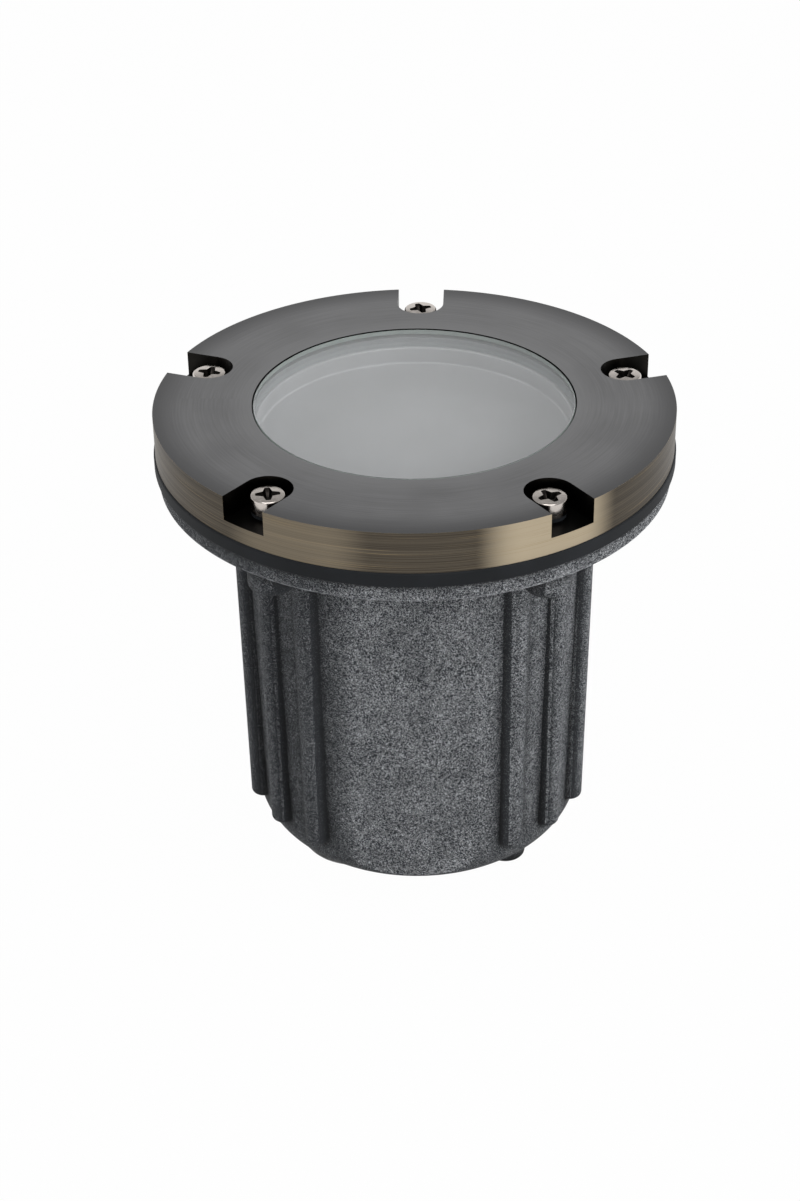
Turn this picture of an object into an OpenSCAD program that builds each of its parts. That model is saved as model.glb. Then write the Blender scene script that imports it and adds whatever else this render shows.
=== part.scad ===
// In ground well light: a bronze cover ring with a flush stepped lens, bolted by
// five screws and a rubber gasket onto a ribbed, moulded composite housing.
// Inside, a lamp tilts in a yoke that turns on a plate above the wiring chamber.
// Millimetres, +Z up. The origin is on the axis, at the level of the feet.

/* [Cover ring] */
// Outer diameter of the cover ring
cover_d = 160; // [158:0.5:176]
// Thickness of the cover ring
cover_t = 13; // [12.5:0.5:18]
// Width of the cover ring's face, from its edge to the lens opening
cover_face_w = 30.25; // [30:0.25:34]
// Chamfer on the edges of the cover ring
cover_edge = 0.4; // [0.2:0.1:0.8]

/* [Cover screws] */
// Distance from the cover's edge to the middle of a cover screw
screw_inset = 11.3; // [10:0.1:11.8]
// Width of the pocket round a cover screw
pocket_w = 15.1; // [13:0.1:15.6]
// Depth of the pocket
pocket_depth = 7.8; // [6.5:0.1:8]
// Thread diameter of a cover screw
screw_d = 5; // [4:0.5:6]
// Head diameter of a cover screw
screw_head_d = 10.5; // [9:0.5:11]
// Head height of a cover screw
screw_head_h = 4; // [3:0.1:4.2]
// Length of a cover screw under its head
screw_len = 24.5; // [22:0.5:25]
// Thickness of the steel washer under a head
washer_t = 1; // [0.8:0.1:1.4]
// Thickness of the rubber seal under a washer
screw_seal_t = 1.3; // [1:0.1:1.6]

/* [Lens] */
// Depth of the shelf that holds the lens lip, below the cover's top
shelf_depth = 4; // [3:0.5:5]
// Thickness of the lens lip
lens_lip_t = 4; // [3:0.5:4.5]
// How far the lens lip reaches out past the opening
lens_lip_w = 3.25; // [2:0.25:3.5]
// Gap between the lens and the edge of the opening
lens_gap = 0.35; // [0.2:0.05:0.6]
// How far the lens lies below the cover's top
lens_sink = 0.1; // [0.05:0.05:0.5]
// Thickness of each lens seal
lens_seal_t = 0.8; // [0.6:0.1:1]
// Thickness of the ring that clamps the lens
retainer_t = 2.4; // [1.8:0.1:2.8]
// Width of the part of that ring that takes its screws
retainer_land = 7.2; // [6.6:0.1:7.4]
// Depth of the diffuser's floor below the cover's top
diffuser_depth = 17.5; // [16:0.5:18]
// Wall of the diffuser
diffuser_t = 1.2; // [0.8:0.1:1.6]

/* [Rim gasket] */
// Thickness of the rim gasket
gasket_t = 4.7; // [4:0.1:6]
// How far the rim gasket stands proud of the cover ring
gasket_proud = 0.5; // [0.3:0.1:1]

/* [Housing] */
// Height of the housing from its base to its rim
housing_h = 132.3; // [130:0.1:160]
// Gap between the diffuser's cup and the mouth of the housing
cup_gap = 1.15; // [0.85:0.05:2]
// Wall of the body
wall = 5.2; // [4.5:0.1:5.6]
// Floor of the housing
floor_t = 6; // [5:0.5:8]
// Rounding of the base edge
base_round = 12.5; // [8:0.5:13]
// Thickness of the flange
flange_t = 5.3; // [4.5:0.1:7]
// How far the flange lies inside the cover ring's edge
flange_step = 0.7; // [0.3:0.1:1.5]
// How deep the front and back flats cut into the round body
flat_cut = 3.7; // [3:0.1:4]
// Diameter of a screw lug under the flange
lug_d = 17.2; // [14:0.2:18]
// Drop of a screw lug below the flange
lug_drop = 9.7; // [9.5:0.1:12]

/* [Ribs] */
// How far the middle of a rib lies inside the body's edge
rib_inset = 2.3; // [1.6:0.1:3.1]
// Diameter of a rib at its foot
rib_foot_d = 8; // [7:0.2:9]
// Diameter of a rib at the flange
rib_top_d = 10.6; // [9.6:0.2:11]
// Height of a rib's foot above the base
rib_rise = 13.5; // [13:0.5:30]
// Angle of the first rib from the middle of a flat
rib_start = 35; // [33:1:36]
// Angle from rib to rib
rib_pitch = 17.5; // [16:0.5:18]

/* [Feet and cable gland] */
// Height of the feet
foot_h = 10; // [9:0.5:12]
// Diameter of a foot
foot_d = 13.2; // [10:0.2:14]
// Distance from the body's edge at the base to the middle of a foot
foot_inset = 18; // [16.5:0.5:20]
// Distance from the body's edge at the base to the middle of the cable gland
gland_inset = 30.1; // [29.6:0.1:31]
// Angle of the cable gland
gland_angle = 207.7; // [205:0.1:210]
// Angle round the base from the gland to each foot
foot_spread = 119.1; // [115:0.1:122]
// Diameter of the gland nut
gland_nut_d = 39.8; // [37:0.2:40]
// Diameter of the cable bore in the gland seal
cable_d = 10; // [7:0.5:11]
// Thread diameter of the gland in the floor
gland_thread_d = 25; // [22:0.5:25.5]

/* [Lamp] */
// Diameter of the lamp's rim
lamp_d = 50.6; // [49:0.2:51]
// Depth of the tilt axis below the housing's rim
tilt_drop = 24.3; // [22.5:0.1:28]
// Height of the tilt axis above the mounting plate
tilt_rise = 68; // [66:0.5:72]
// Thickness of the mounting plate
plate_t = 2; // [1.5:0.5:3]
// Width of the yoke's strip
yoke_w = 16; // [14:0.5:18]
// Thickness of the yoke's strip
yoke_t = 2.5; // [2:0.5:3]

/* [Hidden] */
$fn = 96;

// One overrun for every cut that passes a face
overrun = 1;
// Radial clearance of a shaft that turns in its hole
running_gap = 0.05;
// Clearance of a bolt or a piece that is dropped into a hole
loose_gap = 0.3;

// Count of cover screws, one node each, the first at the back
screw_count = 5;
// Count of ribs between a flat and the side of the body
rib_count = 3;
// Angles of the two flats, back and front
flat_angles = [90, 270];
// Loss of radius per unit of height, the mould's draft
draft_share = 0.0213;

// Levels, from the feet up
base_z = foot_h;
floor_z = base_z + floor_t;
rim_z = base_z + housing_h;
flange_z = rim_z - flange_t;
cover_z = rim_z + gasket_t;
top_z = cover_z + cover_t;
pocket_z = top_z - pocket_depth;
washer_z = pocket_z + screw_seal_t;
head_z = washer_z + washer_t;
shelf_z = top_z - shelf_depth;
lip_top_z = shelf_z - lens_seal_t;
lip_z = lip_top_z - lens_lip_t;
retainer_top_z = lip_z - lens_seal_t;
retainer_z = retainer_top_z - retainer_t;
diffuser_rim_z = retainer_z - diffuser_t;
diffuser_floor_z = top_z - diffuser_depth;
tilt_z = rim_z - tilt_drop;
plate_z = tilt_z - tilt_rise;
plate_rise = plate_z - floor_z;
plate_top_z = plate_z + plate_t;

// Radii of the cover, the flange and the lens stack
cover_r = cover_d / 2;
flange_r = cover_r - flange_step;
gasket_r = cover_r + gasket_proud;
screw_offset = cover_r - screw_inset;
opening_r = cover_r - cover_face_w;
lip_r = opening_r + lens_lip_w;
lip_bore_r = lip_r + loose_gap;
retainer_r = lip_r + retainer_land;
retainer_bore_r = retainer_r + loose_gap;
gasket_hole_r = retainer_r + overrun;
retainer_screw_offset = (lip_bore_r + retainer_r) / 2;
retainer_screw_r = 1.2;
retainer_screw_len = 7.5;
retainer_head_r = 2.6;
retainer_head_h = 1.6;

// Radii of the body and its hollow at a height; the cup just passes its mouth
cup_r = opening_r;
mouth_r = cup_r + cup_gap;
mouth_depth = 3;
body_top_r = mouth_r + wall;
rib_offset = body_top_r - rib_inset;
function body_r(z) = body_top_r - draft_share * (flange_z - z);
function hollow_r(z) = body_r(z) - wall;
function flat_y(z) = body_r(z) - flat_cut;
// Wall behind a flat
flat_wall = 4.5;

// Cover screws, washers, inserts and lugs
screw_r = screw_d / 2;
screw_hole_r = screw_r + loose_gap;
screw_head_r = screw_head_d / 2;
screw_chamfer = 0.5;
washer_r = 5.2;
screw_seal_r = 5;
recess_depth = 2.4;
recess_w = 1.5;
recess_r = 3.1;
insert_sink = 0.8;
insert_len = 12;
insert_r = 3.5;
insert_play = 1;
lug_edge = 1.4;
flange_edge = 0.5;
rib_edge = 1.2;
foot_edge = 0.8;
foot_offset = body_r(base_z) - foot_inset;

// Cable gland
gland_offset = body_r(base_z) - gland_inset;
gland_washer_t = 1.5;
gland_flange_t = 2;
gland_flange_r = 18.5;
gland_neck_r = 14;
gland_neck_len = 4;
gland_thread_r = gland_thread_d / 2;
gland_hole_r = gland_thread_r + running_gap;
gland_bore_r = 9;
gland_tail = 8;
gland_nut_cap_t = 2;
gland_nut_mouth_r = 6.5;
gland_nut_edge = 1;
gland_seal_len = 7.5;
locknut_r = 16;
locknut_h = 5;
gland_flange_z = base_z - gland_washer_t - gland_flange_t;
cable_r = cable_d / 2;

// Mounting plate, its standoffs and what it carries
post_r = 5;
post_wall_gap = 1.3;
post_offset = hollow_r(floor_z) - post_wall_gap - post_r;
post_angles = [0, 120, 240];
post_screw_r = 1.6;
post_screw_len = 10;
post_head_r = 3.6;
post_head_h = 2.4;
plate_gap = 1.2;
plate_r = hollow_r(plate_z) - plate_gap;
plate_y = flat_y(plate_z) - flat_wall - plate_gap;
grommet_inset = 14.2;
grommet_offset = plate_r - grommet_inset;
grommet_angle = 157.2;
grommet_hole_r = 5;
grommet_lip_r = 6.6;
grommet_lip_t = 1.2;
grommet_bore_r = 3;
block_size = [28, 16, 11];
block_inset = 3;
block_x = 5.5;
block_y = block_size[1] / 2 + block_inset - plate_y;
block_ways = 3;
block_bore_r = 1.8;
block_screw_r = 1.5;
block_screw_depth = 5;

// Pivot under the yoke
pivot_r = 3;
pivot_head_r = 6;
pivot_head_h = 3;
pivot_nut_r = 5.8;
pivot_nut_h = 5;
pivot_washer_r = 6;
pivot_washer_t = 0.8;
friction_r = 9;
friction_t = post_head_h + loose_gap;
yoke_z = plate_top_z + friction_t;
yoke_top_z = yoke_z + yoke_t;

// Lamp, its ring and the tilt pivots
lamp_r = lamp_d / 2;
lamp_rim_h = 4;
lamp_gap = 0.3;
ring_bore_r = lamp_r + lamp_gap;
ring_t = 3.4;
ring_r = ring_bore_r + ring_t;
ring_h = 10;
ring_ledge = 1.7;
ring_lip_r = lamp_r - ring_ledge;
ring_boss_r = 5;
ring_boss_out = 2;
tilt_r = 2;
tilt_bite = 5;
tilt_washer_t = 0.5;
tilt_head_r = 4;
tilt_head_h = 2;
boss_x = ring_r + ring_boss_out;
arm_x = boss_x + tilt_washer_t;
arm_top = yoke_w / 2;
neck_share = 0.375;
neck_r = neck_share * lamp_r;
neck_len = 7;
lamp_drop = 40;
bowl_drop = lamp_drop - neck_len;
// Outline of the lamp's bowl: shares of the rim's radius, shares of the bowl's depth
bowl_shares = [[0.92, 0], [0.885, 0.18], [0.74, 0.56], [0.47, 0.97], [neck_share, 1]];
// Outline of the reflector inside it, in the same shares
reflector_shares = [[0.86, -0.04], [0.8, 0.2], [0.64, 0.54], [0.36, 0.84], [0.24, 0.88]];
lamp_lip_w = 1.9;
lamp_lens_r = lamp_r - lamp_lip_w;
lamp_lens_t = 1.4;
lens_seat_w = 1.4;
capsule_r = 4;
capsule_len = 14;
clip_wire_r = 0.6;
pin_r = 0.8;
pin_len = 7;
pin_pitch = 5.3;
socket_size = [17, 12, 11];

function screw_angle(i) = 90 + i * 360 / screw_count;

// Repeats what follows at the places of the cover screws
module at_screws(offset = screw_offset, turn = 0) {
    for (i = [0 : screw_count - 1])
        rotate([0, 0, screw_angle(i) + turn])
            translate([offset, 0, 0])
                children();
}

// A flat ring
module ring(outer, inner, height) {
    difference() {
        cylinder(h = height, r = outer);
        translate([0, 0, -overrun])
            cylinder(h = height + 2 * overrun, r = inner);
    }
}

// A disc whose lower edge is chamfered
module soft_disc(r, h, edge) {
    rotate_extrude()
        polygon([[0, 0], [r - edge, 0], [r, edge], [r, h], [0, h]]);
}

// What lies outside a flat of the body, on its front
module flat_cutter(inset = 0) {
    rotate([90, 0, 90])
        linear_extrude(height = 2 * cover_d, center = true)
            polygon([
                [-flat_y(-overrun) + inset, -overrun],
                [-flat_y(top_z) + inset, top_z],
                [-cover_d, top_z],
                [-cover_d, -overrun]
            ]);
}

module both_flats(inset = 0) {
    flat_cutter(inset);
    rotate([0, 0, 180])
        flat_cutter(inset);
}

// The round tapered body with its rounded base edge, up to the rim
module body_shape() {
    slant = atan(draft_share);
    middle = body_r(base_z) + draft_share * base_round - base_round / cos(slant);
    rotate_extrude() {
        polygon([
            [0, base_z],
            [middle, base_z],
            [middle + base_round * cos(slant), base_z + base_round * (1 - sin(slant))],
            [body_r(rim_z), rim_z],
            [0, rim_z]
        ]);
        intersection() {
            translate([middle, base_z + base_round])
                circle(r = base_round);
            translate([0, base_z])
                square([cover_r, base_round]);
        }
    }
}

module rib() {
    height = flange_z - base_z - rib_rise;
    translate([rib_offset, 0, base_z + rib_rise])
        rotate_extrude()
            polygon([
                [0, 0],
                [rib_foot_d / 2 - rib_edge, 0],
                [rib_foot_d / 2, rib_edge],
                [rib_top_d / 2, height],
                [rib_top_d / 2, height + flange_t],
                [0, height + flange_t]
            ]);
}

module ribs() {
    for (flat = flat_angles, side = [-1, 1], i = [0 : rib_count - 1])
        rotate([0, 0, flat + side * (rib_start + i * rib_pitch)])
            rib();
}

module hollow() {
    height = rim_z - floor_z + overrun;
    difference() {
        translate([0, 0, floor_z])
            cylinder(h = height, r1 = hollow_r(floor_z), r2 = hollow_r(floor_z + height));
        both_flats(flat_wall);
    }
    translate([0, 0, rim_z - mouth_depth])
        cylinder(h = mouth_depth + overrun, r = mouth_r);
}

// What the inserts fill, open at the rim and closed at the foot of a lug
module insert_holes() {
    at_screws()
        translate([0, 0, rim_z - insert_sink - insert_len - insert_play])
            cylinder(h = flange_t + lug_drop + overrun, r = insert_r);
}

// The cup of the housing, not yet hollowed, with its ribs and flats
module cup_shape() {
    difference() {
        body_shape();
        both_flats();
    }
    ribs();
}

module lug_shapes() {
    at_screws()
        translate([0, 0, flange_z - lug_drop])
            soft_disc(lug_d / 2, lug_drop + flange_t, lug_edge);
}

module housing() {
    color("#4a4c4e")
        difference() {
            cup_shape();
            hollow();
            at_gland(base_z - overrun)
                cylinder(h = floor_t + 2 * overrun, r = gland_hole_r);
        }
}

// The flange round the cup and the lugs
module housing_flange() {
    color("#4a4c4e")
        difference() {
            translate([0, 0, flange_z])
                soft_disc(flange_r, flange_t, flange_edge);
            cup_shape();
            lug_shapes();
        }
}

module screw_lugs() {
    color("#4a4c4e")
        difference() {
            lug_shapes();
            insert_holes();
        }
}

// Two feet, which stand level with the gland nut
module feet() {
    color("#4a4c4e")
        for (side = [-1, 1])
            rotate([0, 0, gland_angle + side * foot_spread])
                translate([foot_offset, 0, 0])
                    soft_disc(foot_d / 2, foot_h, foot_edge);
}

module threaded_inserts() {
    color("#b8923c")
        at_screws()
            translate([0, 0, rim_z - insert_sink - insert_len])
                ring(insert_r, screw_r, insert_len);
}

module rim_gasket() {
    color("#1c1d1f")
        translate([0, 0, rim_z])
            difference() {
                ring(gasket_r, gasket_hole_r, gasket_t);
                at_screws()
                    translate([0, 0, -overrun])
                        cylinder(h = gasket_t + 2 * overrun, r = screw_hole_r);
            }
}

// The gland's own pieces share one axis
module at_gland(z) {
    rotate([0, 0, gland_angle])
        translate([gland_offset, 0, z])
            children();
}

module gland_body() {
    color("#202123")
        at_gland(0)
            difference() {
                union() {
                    translate([0, 0, gland_flange_z])
                        cylinder(h = gland_flange_t, r = gland_flange_r, $fn = 6);
                    translate([0, 0, gland_flange_z - gland_neck_len])
                        cylinder(h = gland_neck_len, r = gland_neck_r);
                    translate([0, 0, gland_flange_z + gland_flange_t])
                        cylinder(h = gland_washer_t + floor_t + gland_tail, r = gland_thread_r);
                }
                translate([0, 0, -overrun])
                    cylinder(h = floor_z + gland_tail + 2 * overrun, r = gland_bore_r);
            }
}

module gland_washer() {
    color("#161718")
        at_gland(base_z - gland_washer_t)
            ring(gland_neck_r + gland_washer_t, gland_hole_r, gland_washer_t);
}

module gland_locknut() {
    color("#202123")
        at_gland(floor_z)
            difference() {
                cylinder(h = locknut_h, r = locknut_r, $fn = 6);
                translate([0, 0, -overrun])
                    cylinder(h = locknut_h + 2 * overrun, r = gland_hole_r);
            }
}

module gland_seal() {
    color("#2b2c2e")
        at_gland(gland_nut_cap_t)
            ring(gland_bore_r - running_gap, cable_r, gland_seal_len);
}

module gland_nut() {
    nut_h = gland_flange_z;
    color("#18191a")
        at_gland(0)
            difference() {
                rotate_extrude()
                    polygon([
                        [gland_nut_mouth_r, 0],
                        [gland_nut_d / 2 - gland_nut_edge, 0],
                        [gland_nut_d / 2, gland_nut_edge],
                        [gland_nut_d / 2, nut_h],
                        [gland_nut_mouth_r, nut_h]
                    ]);
                translate([0, 0, gland_nut_cap_t])
                    cylinder(h = nut_h + overrun, r = gland_neck_r + running_gap);
            }
}

module at_posts(z) {
    for (angle = post_angles)
        rotate([0, 0, angle])
            translate([post_offset, 0, z])
                children();
}

module plate_standoffs() {
    color("#c2c4c6")
        at_posts(floor_z)
            difference() {
                cylinder(h = plate_rise, r = post_r, $fn = 6);
                translate([0, 0, plate_rise - post_screw_len])
                    cylinder(h = post_screw_len + overrun, r = post_screw_r + running_gap);
            }
}

module at_grommet(z) {
    rotate([0, 0, grommet_angle])
        translate([grommet_offset, 0, z])
            children();
}

module mounting_plate() {
    color("#b9bcbf")
        difference() {
            intersection() {
                translate([0, 0, plate_z])
                    cylinder(h = plate_t, r = plate_r);
                translate([-plate_r, -plate_y, plate_z - overrun])
                    cube([2 * plate_r, 2 * plate_y, plate_t + 2 * overrun]);
            }
            at_posts(plate_z - overrun)
                cylinder(h = plate_t + 2 * overrun, r = post_screw_r + loose_gap);
            translate([0, 0, plate_z - overrun])
                cylinder(h = plate_t + 2 * overrun, r = pivot_r + running_gap);
            at_grommet(plate_z - overrun)
                cylinder(h = plate_t + 2 * overrun, r = grommet_hole_r);
        }
}

module plate_screws() {
    color("#c9cbcd")
        at_posts(plate_top_z) {
            cylinder(h = post_head_h, r = post_head_r);
            translate([0, 0, -post_screw_len])
                cylinder(h = post_screw_len, r = post_screw_r);
        }
}

module plate_grommet() {
    color("#1b1c1d")
        at_grommet(plate_z - grommet_lip_t)
            difference() {
                union() {
                    cylinder(h = grommet_lip_t, r = grommet_lip_r);
                    cylinder(h = plate_t + 2 * grommet_lip_t, r = grommet_hole_r);
                    translate([0, 0, plate_t + grommet_lip_t])
                        cylinder(h = grommet_lip_t, r = grommet_lip_r);
                }
                translate([0, 0, -overrun])
                    cylinder(h = plate_t + 2 * (grommet_lip_t + overrun), r = grommet_bore_r);
            }
}

// Repeats what follows at the ways of the terminal block
module at_ways() {
    step = block_size[0] / block_ways;
    for (i = [0 : block_ways - 1])
        translate([(i + 1 / 2) * step - block_size[0] / 2, 0, 0])
            children();
}

module terminal_block() {
    color("#e3e1da")
        translate([block_x, block_y, plate_z - block_size[2]])
            difference() {
                translate([-block_size[0] / 2, -block_size[1] / 2, 0])
                    cube(block_size);
                at_ways() {
                    translate([0, block_size[1] / 2 + overrun, block_size[2] / 2])
                        rotate([90, 0, 0])
                            cylinder(h = block_size[1] + 2 * overrun, r = block_bore_r);
                    for (side = [-1, 1])
                        translate([0, side * block_size[1] / 4, -overrun])
                            cylinder(h = block_screw_depth + overrun, r = block_screw_r);
                }
            }
}

module terminal_screws() {
    color("#c6a04a")
        translate([block_x, block_y, plate_z - block_size[2]])
            at_ways()
                for (side = [-1, 1])
                    translate([0, side * block_size[1] / 4, running_gap])
                        cylinder(h = block_size[2] / 2 - running_gap, r = block_screw_r - running_gap);
}

module pivot_bolt() {
    tail = overrun;
    shank = pivot_nut_h + plate_t + friction_t + yoke_t + pivot_washer_t + tail;
    color("#c2c4c6")
        translate([0, 0, plate_z - pivot_nut_h - tail]) {
            cylinder(h = shank, r = pivot_r);
            translate([0, 0, shank])
                cylinder(h = pivot_head_h, r = pivot_head_r, $fn = 6);
        }
}

module pivot_nut() {
    color("#c2c4c6")
        translate([0, 0, plate_z - pivot_nut_h])
            difference() {
                cylinder(h = pivot_nut_h, r = pivot_nut_r, $fn = 6);
                translate([0, 0, -overrun])
                    cylinder(h = pivot_nut_h + 2 * overrun, r = pivot_r + running_gap);
            }
}

module pivot_washer() {
    color("#d0d2d4")
        translate([0, 0, yoke_top_z])
            ring(pivot_washer_r, pivot_r + running_gap, pivot_washer_t);
}

module friction_washer() {
    color("#e8e6e0")
        translate([0, 0, plate_top_z])
            ring(friction_r, pivot_r + running_gap, friction_t);
}

// The pocket round a screw: round at its inner end and open at the rim
module pocket() {
    translate([screw_offset, 0, pocket_z]) {
        cylinder(h = pocket_depth + overrun, r = pocket_w / 2);
        translate([0, -pocket_w / 2, 0])
            cube([cover_r, pocket_w, pocket_depth + overrun]);
    }
}

module cover_ring() {
    color("#6a665f")
        difference() {
            translate([0, 0, cover_z])
                rotate_extrude()
                    polygon([
                        [opening_r, 0],
                        [cover_r - cover_edge, 0],
                        [cover_r, cover_edge],
                        [cover_r, cover_t - cover_edge],
                        [cover_r - cover_edge, cover_t],
                        [opening_r, cover_t]
                    ]);
            translate([0, 0, cover_z - overrun])
                cylinder(h = shelf_z - cover_z + overrun, r = lip_bore_r);
            translate([0, 0, cover_z - overrun])
                cylinder(h = retainer_top_z - cover_z + overrun, r = retainer_bore_r);
            for (i = [0 : screw_count - 1])
                rotate([0, 0, screw_angle(i)])
                    pocket();
            at_screws()
                translate([0, 0, cover_z - overrun])
                    cylinder(h = cover_t, r = screw_hole_r);
            at_screws(retainer_screw_offset, 180 / screw_count)
                translate([0, 0, diffuser_rim_z])
                    cylinder(h = retainer_screw_len + loose_gap, r = retainer_screw_r + running_gap);
        }
}

module lens_glass() {
    color("#cfdad8", 0.45) {
        translate([0, 0, lip_z])
            cylinder(h = lens_lip_t, r = lip_r);
        translate([0, 0, lip_z])
            cylinder(h = top_z - lens_sink - lip_z, r = opening_r - lens_gap);
    }
}

module lens_seal() {
    color("#1b1c1e")
        translate([0, 0, lip_top_z])
            ring(lip_r, opening_r, lens_seal_t);
}

module lens_gasket() {
    color("#a9acae")
        translate([0, 0, retainer_top_z])
            ring(lip_r, opening_r, lens_seal_t);
}

module diffuser() {
    color("#c9cbcc", 0.9) {
        difference() {
            translate([0, 0, diffuser_rim_z])
                ring(retainer_r, cup_r - diffuser_t, diffuser_t);
            at_screws(retainer_screw_offset, 180 / screw_count)
                translate([0, 0, diffuser_rim_z - overrun])
                    cylinder(h = diffuser_t + 2 * overrun, r = retainer_screw_r + loose_gap);
        }
        translate([0, 0, diffuser_floor_z - diffuser_t])
            difference() {
                cylinder(h = diffuser_rim_z - diffuser_floor_z + 2 * diffuser_t, r = cup_r);
                translate([0, 0, diffuser_t])
                    cylinder(h = diffuser_depth, r = cup_r - diffuser_t);
            }
    }
}

module lens_retainer() {
    color("#8f9294")
        translate([0, 0, retainer_z])
            difference() {
                ring(retainer_r, opening_r, retainer_t);
                at_screws(retainer_screw_offset, 180 / screw_count)
                    translate([0, 0, -overrun])
                        cylinder(h = retainer_t + 2 * overrun, r = retainer_screw_r + loose_gap);
            }
}

module retainer_screws() {
    color("#c9cbcd")
        at_screws(retainer_screw_offset, 180 / screw_count)
            translate([0, 0, diffuser_rim_z - retainer_head_h]) {
                cylinder(h = retainer_head_h, r = retainer_head_r);
                cylinder(h = retainer_head_h + retainer_screw_len, r = retainer_screw_r);
            }
}

module screw_washers() {
    color("#c4c5c6")
        at_screws()
            translate([0, 0, washer_z])
                ring(washer_r, screw_hole_r, washer_t);
}

module screw_seals() {
    color("#1b1c1e")
        at_screws()
            translate([0, 0, pocket_z])
                ring(screw_seal_r, screw_hole_r, screw_seal_t);
}

// A pan head screw with a cross recess
module cover_screw(i) {
    dome = screw_head_h / 2;
    color("#cfcfce")
        rotate([0, 0, screw_angle(i)])
            translate([screw_offset, 0, head_z]) {
                translate([0, 0, -screw_len])
                    soft_disc(screw_r - running_gap, screw_len, screw_chamfer);
                difference() {
                    rotate_extrude()
                        polygon([
                            [0, 0],
                            [screw_head_r, 0],
                            [screw_head_r, dome - screw_chamfer],
                            [screw_head_r - screw_chamfer / 2, dome + screw_chamfer / 2],
                            [screw_head_r - dome / 2, screw_head_h - screw_chamfer],
                            [screw_head_r - dome, screw_head_h],
                            [0, screw_head_h]
                        ]);
                    for (turn = [0, 90])
                        rotate([0, 0, turn])
                            translate([-recess_r, -recess_w / 2, screw_head_h - recess_depth])
                                cube([2 * recess_r, recess_w, recess_depth + overrun]);
                }
            }
}

module yoke() {
    color("#aeb1b4")
        difference() {
            union() {
                translate([-arm_x - yoke_t, -yoke_w / 2, yoke_z])
                    cube([2 * (arm_x + yoke_t), yoke_w, yoke_t]);
                for (side = [-1, 1])
                    translate([side * (arm_x + yoke_t / 2), 0, 0]) {
                        translate([-yoke_t / 2, -yoke_w / 2, yoke_z])
                            cube([yoke_t, yoke_w, tilt_z - yoke_z]);
                        translate([-yoke_t / 2, 0, tilt_z])
                            rotate([0, 90, 0])
                                cylinder(h = yoke_t, r = arm_top);
                    }
            }
            translate([0, 0, yoke_z - overrun])
                cylinder(h = yoke_t + 2 * overrun, r = pivot_r + running_gap);
            translate([-arm_x - yoke_t - overrun, 0, tilt_z])
                rotate([0, 90, 0])
                    cylinder(h = 2 * (arm_x + yoke_t + overrun), r = tilt_r + running_gap);
        }
}

// Repeats what follows along the tilt axis, both sides, pointing outwards
module at_tilt(x) {
    for (side = [0, 180])
        rotate([0, 0, side])
            translate([x, 0, tilt_z])
                rotate([0, 90, 0])
                    children();
}

module tilt_screws() {
    color("#c9cbcd")
        at_tilt(boss_x - tilt_bite) {
            cylinder(h = tilt_bite + tilt_washer_t + yoke_t, r = tilt_r);
            translate([0, 0, tilt_bite + tilt_washer_t + yoke_t])
                cylinder(h = tilt_head_h, r = tilt_head_r);
        }
}

module tilt_washers() {
    color("#e8e6e0")
        at_tilt(boss_x)
            ring(ring_boss_r, tilt_r + running_gap, tilt_washer_t);
}

module lamp_ring() {
    color("#9fa2a5")
        difference() {
            union() {
                translate([0, 0, tilt_z - ring_h / 2])
                    cylinder(h = ring_h, r = ring_r);
                at_tilt(ring_bore_r)
                    cylinder(h = boss_x - ring_bore_r, r = ring_boss_r);
            }
            translate([0, 0, tilt_z - ring_h])
                cylinder(h = 2 * ring_h, r = ring_lip_r);
            translate([0, 0, tilt_z])
                cylinder(h = ring_h, r = ring_bore_r);
            at_tilt(boss_x - tilt_bite - running_gap)
                cylinder(h = tilt_bite + overrun, r = tilt_r + running_gap);
        }
}

module lamp_body() {
    color("#dcdddd")
        translate([0, 0, tilt_z])
            difference() {
                rotate_extrude()
                    polygon(concat(
                        [[0, lamp_rim_h], [lamp_r, lamp_rim_h], [lamp_r, 0]],
                        [for (s = bowl_shares) [s[0] * lamp_r, -s[1] * bowl_drop]],
                        [[neck_r, -bowl_drop], [neck_r, -lamp_drop], [0, -lamp_drop]]
                    ));
                translate([0, 0, lamp_rim_h - lamp_lens_t])
                    cylinder(h = lamp_lens_t + overrun, r = lamp_lens_r + running_gap);
                rotate_extrude()
                    polygon(concat(
                        [[0, lamp_rim_h], [lamp_lens_r - lens_seat_w, lamp_rim_h]],
                        [for (s = reflector_shares) [s[0] * lamp_r, -s[1] * bowl_drop]],
                        [[0, -reflector_shares[4][1] * bowl_drop]]
                    ));
                for (side = [-1, 1])
                    translate([side * pin_pitch / 2, 0, -lamp_drop - overrun])
                        cylinder(h = pin_len + overrun, r = pin_r);
            }
}

module lamp_lens() {
    color("#eef0f0", 0.6)
        translate([0, 0, tilt_z + lamp_rim_h - lamp_lens_t])
            cylinder(h = lamp_lens_t, r = lamp_lens_r);
}

// The burner: a round-ended capsule that stands in the reflector
module lamp_capsule() {
    color("#f2efe6")
        translate([0, 0, tilt_z - reflector_shares[4][1] * bowl_drop]) {
            cylinder(h = capsule_len, r = capsule_r);
            translate([0, 0, capsule_len])
                sphere(r = capsule_r);
        }
}

module lamp_clip() {
    color("#c9cbcd")
        translate([0, 0, tilt_z + lamp_rim_h + clip_wire_r])
            rotate_extrude()
                translate([ring_bore_r - clip_wire_r - running_gap, 0])
                    circle(r = clip_wire_r, $fn = 24);
}

module lamp_pins() {
    color("#c8a85a")
        for (side = [-1, 1])
            translate([side * pin_pitch / 2, 0, tilt_z - lamp_drop - pin_len])
                cylinder(h = 2 * pin_len, r = pin_r - running_gap, $fn = 32);
}

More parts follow.
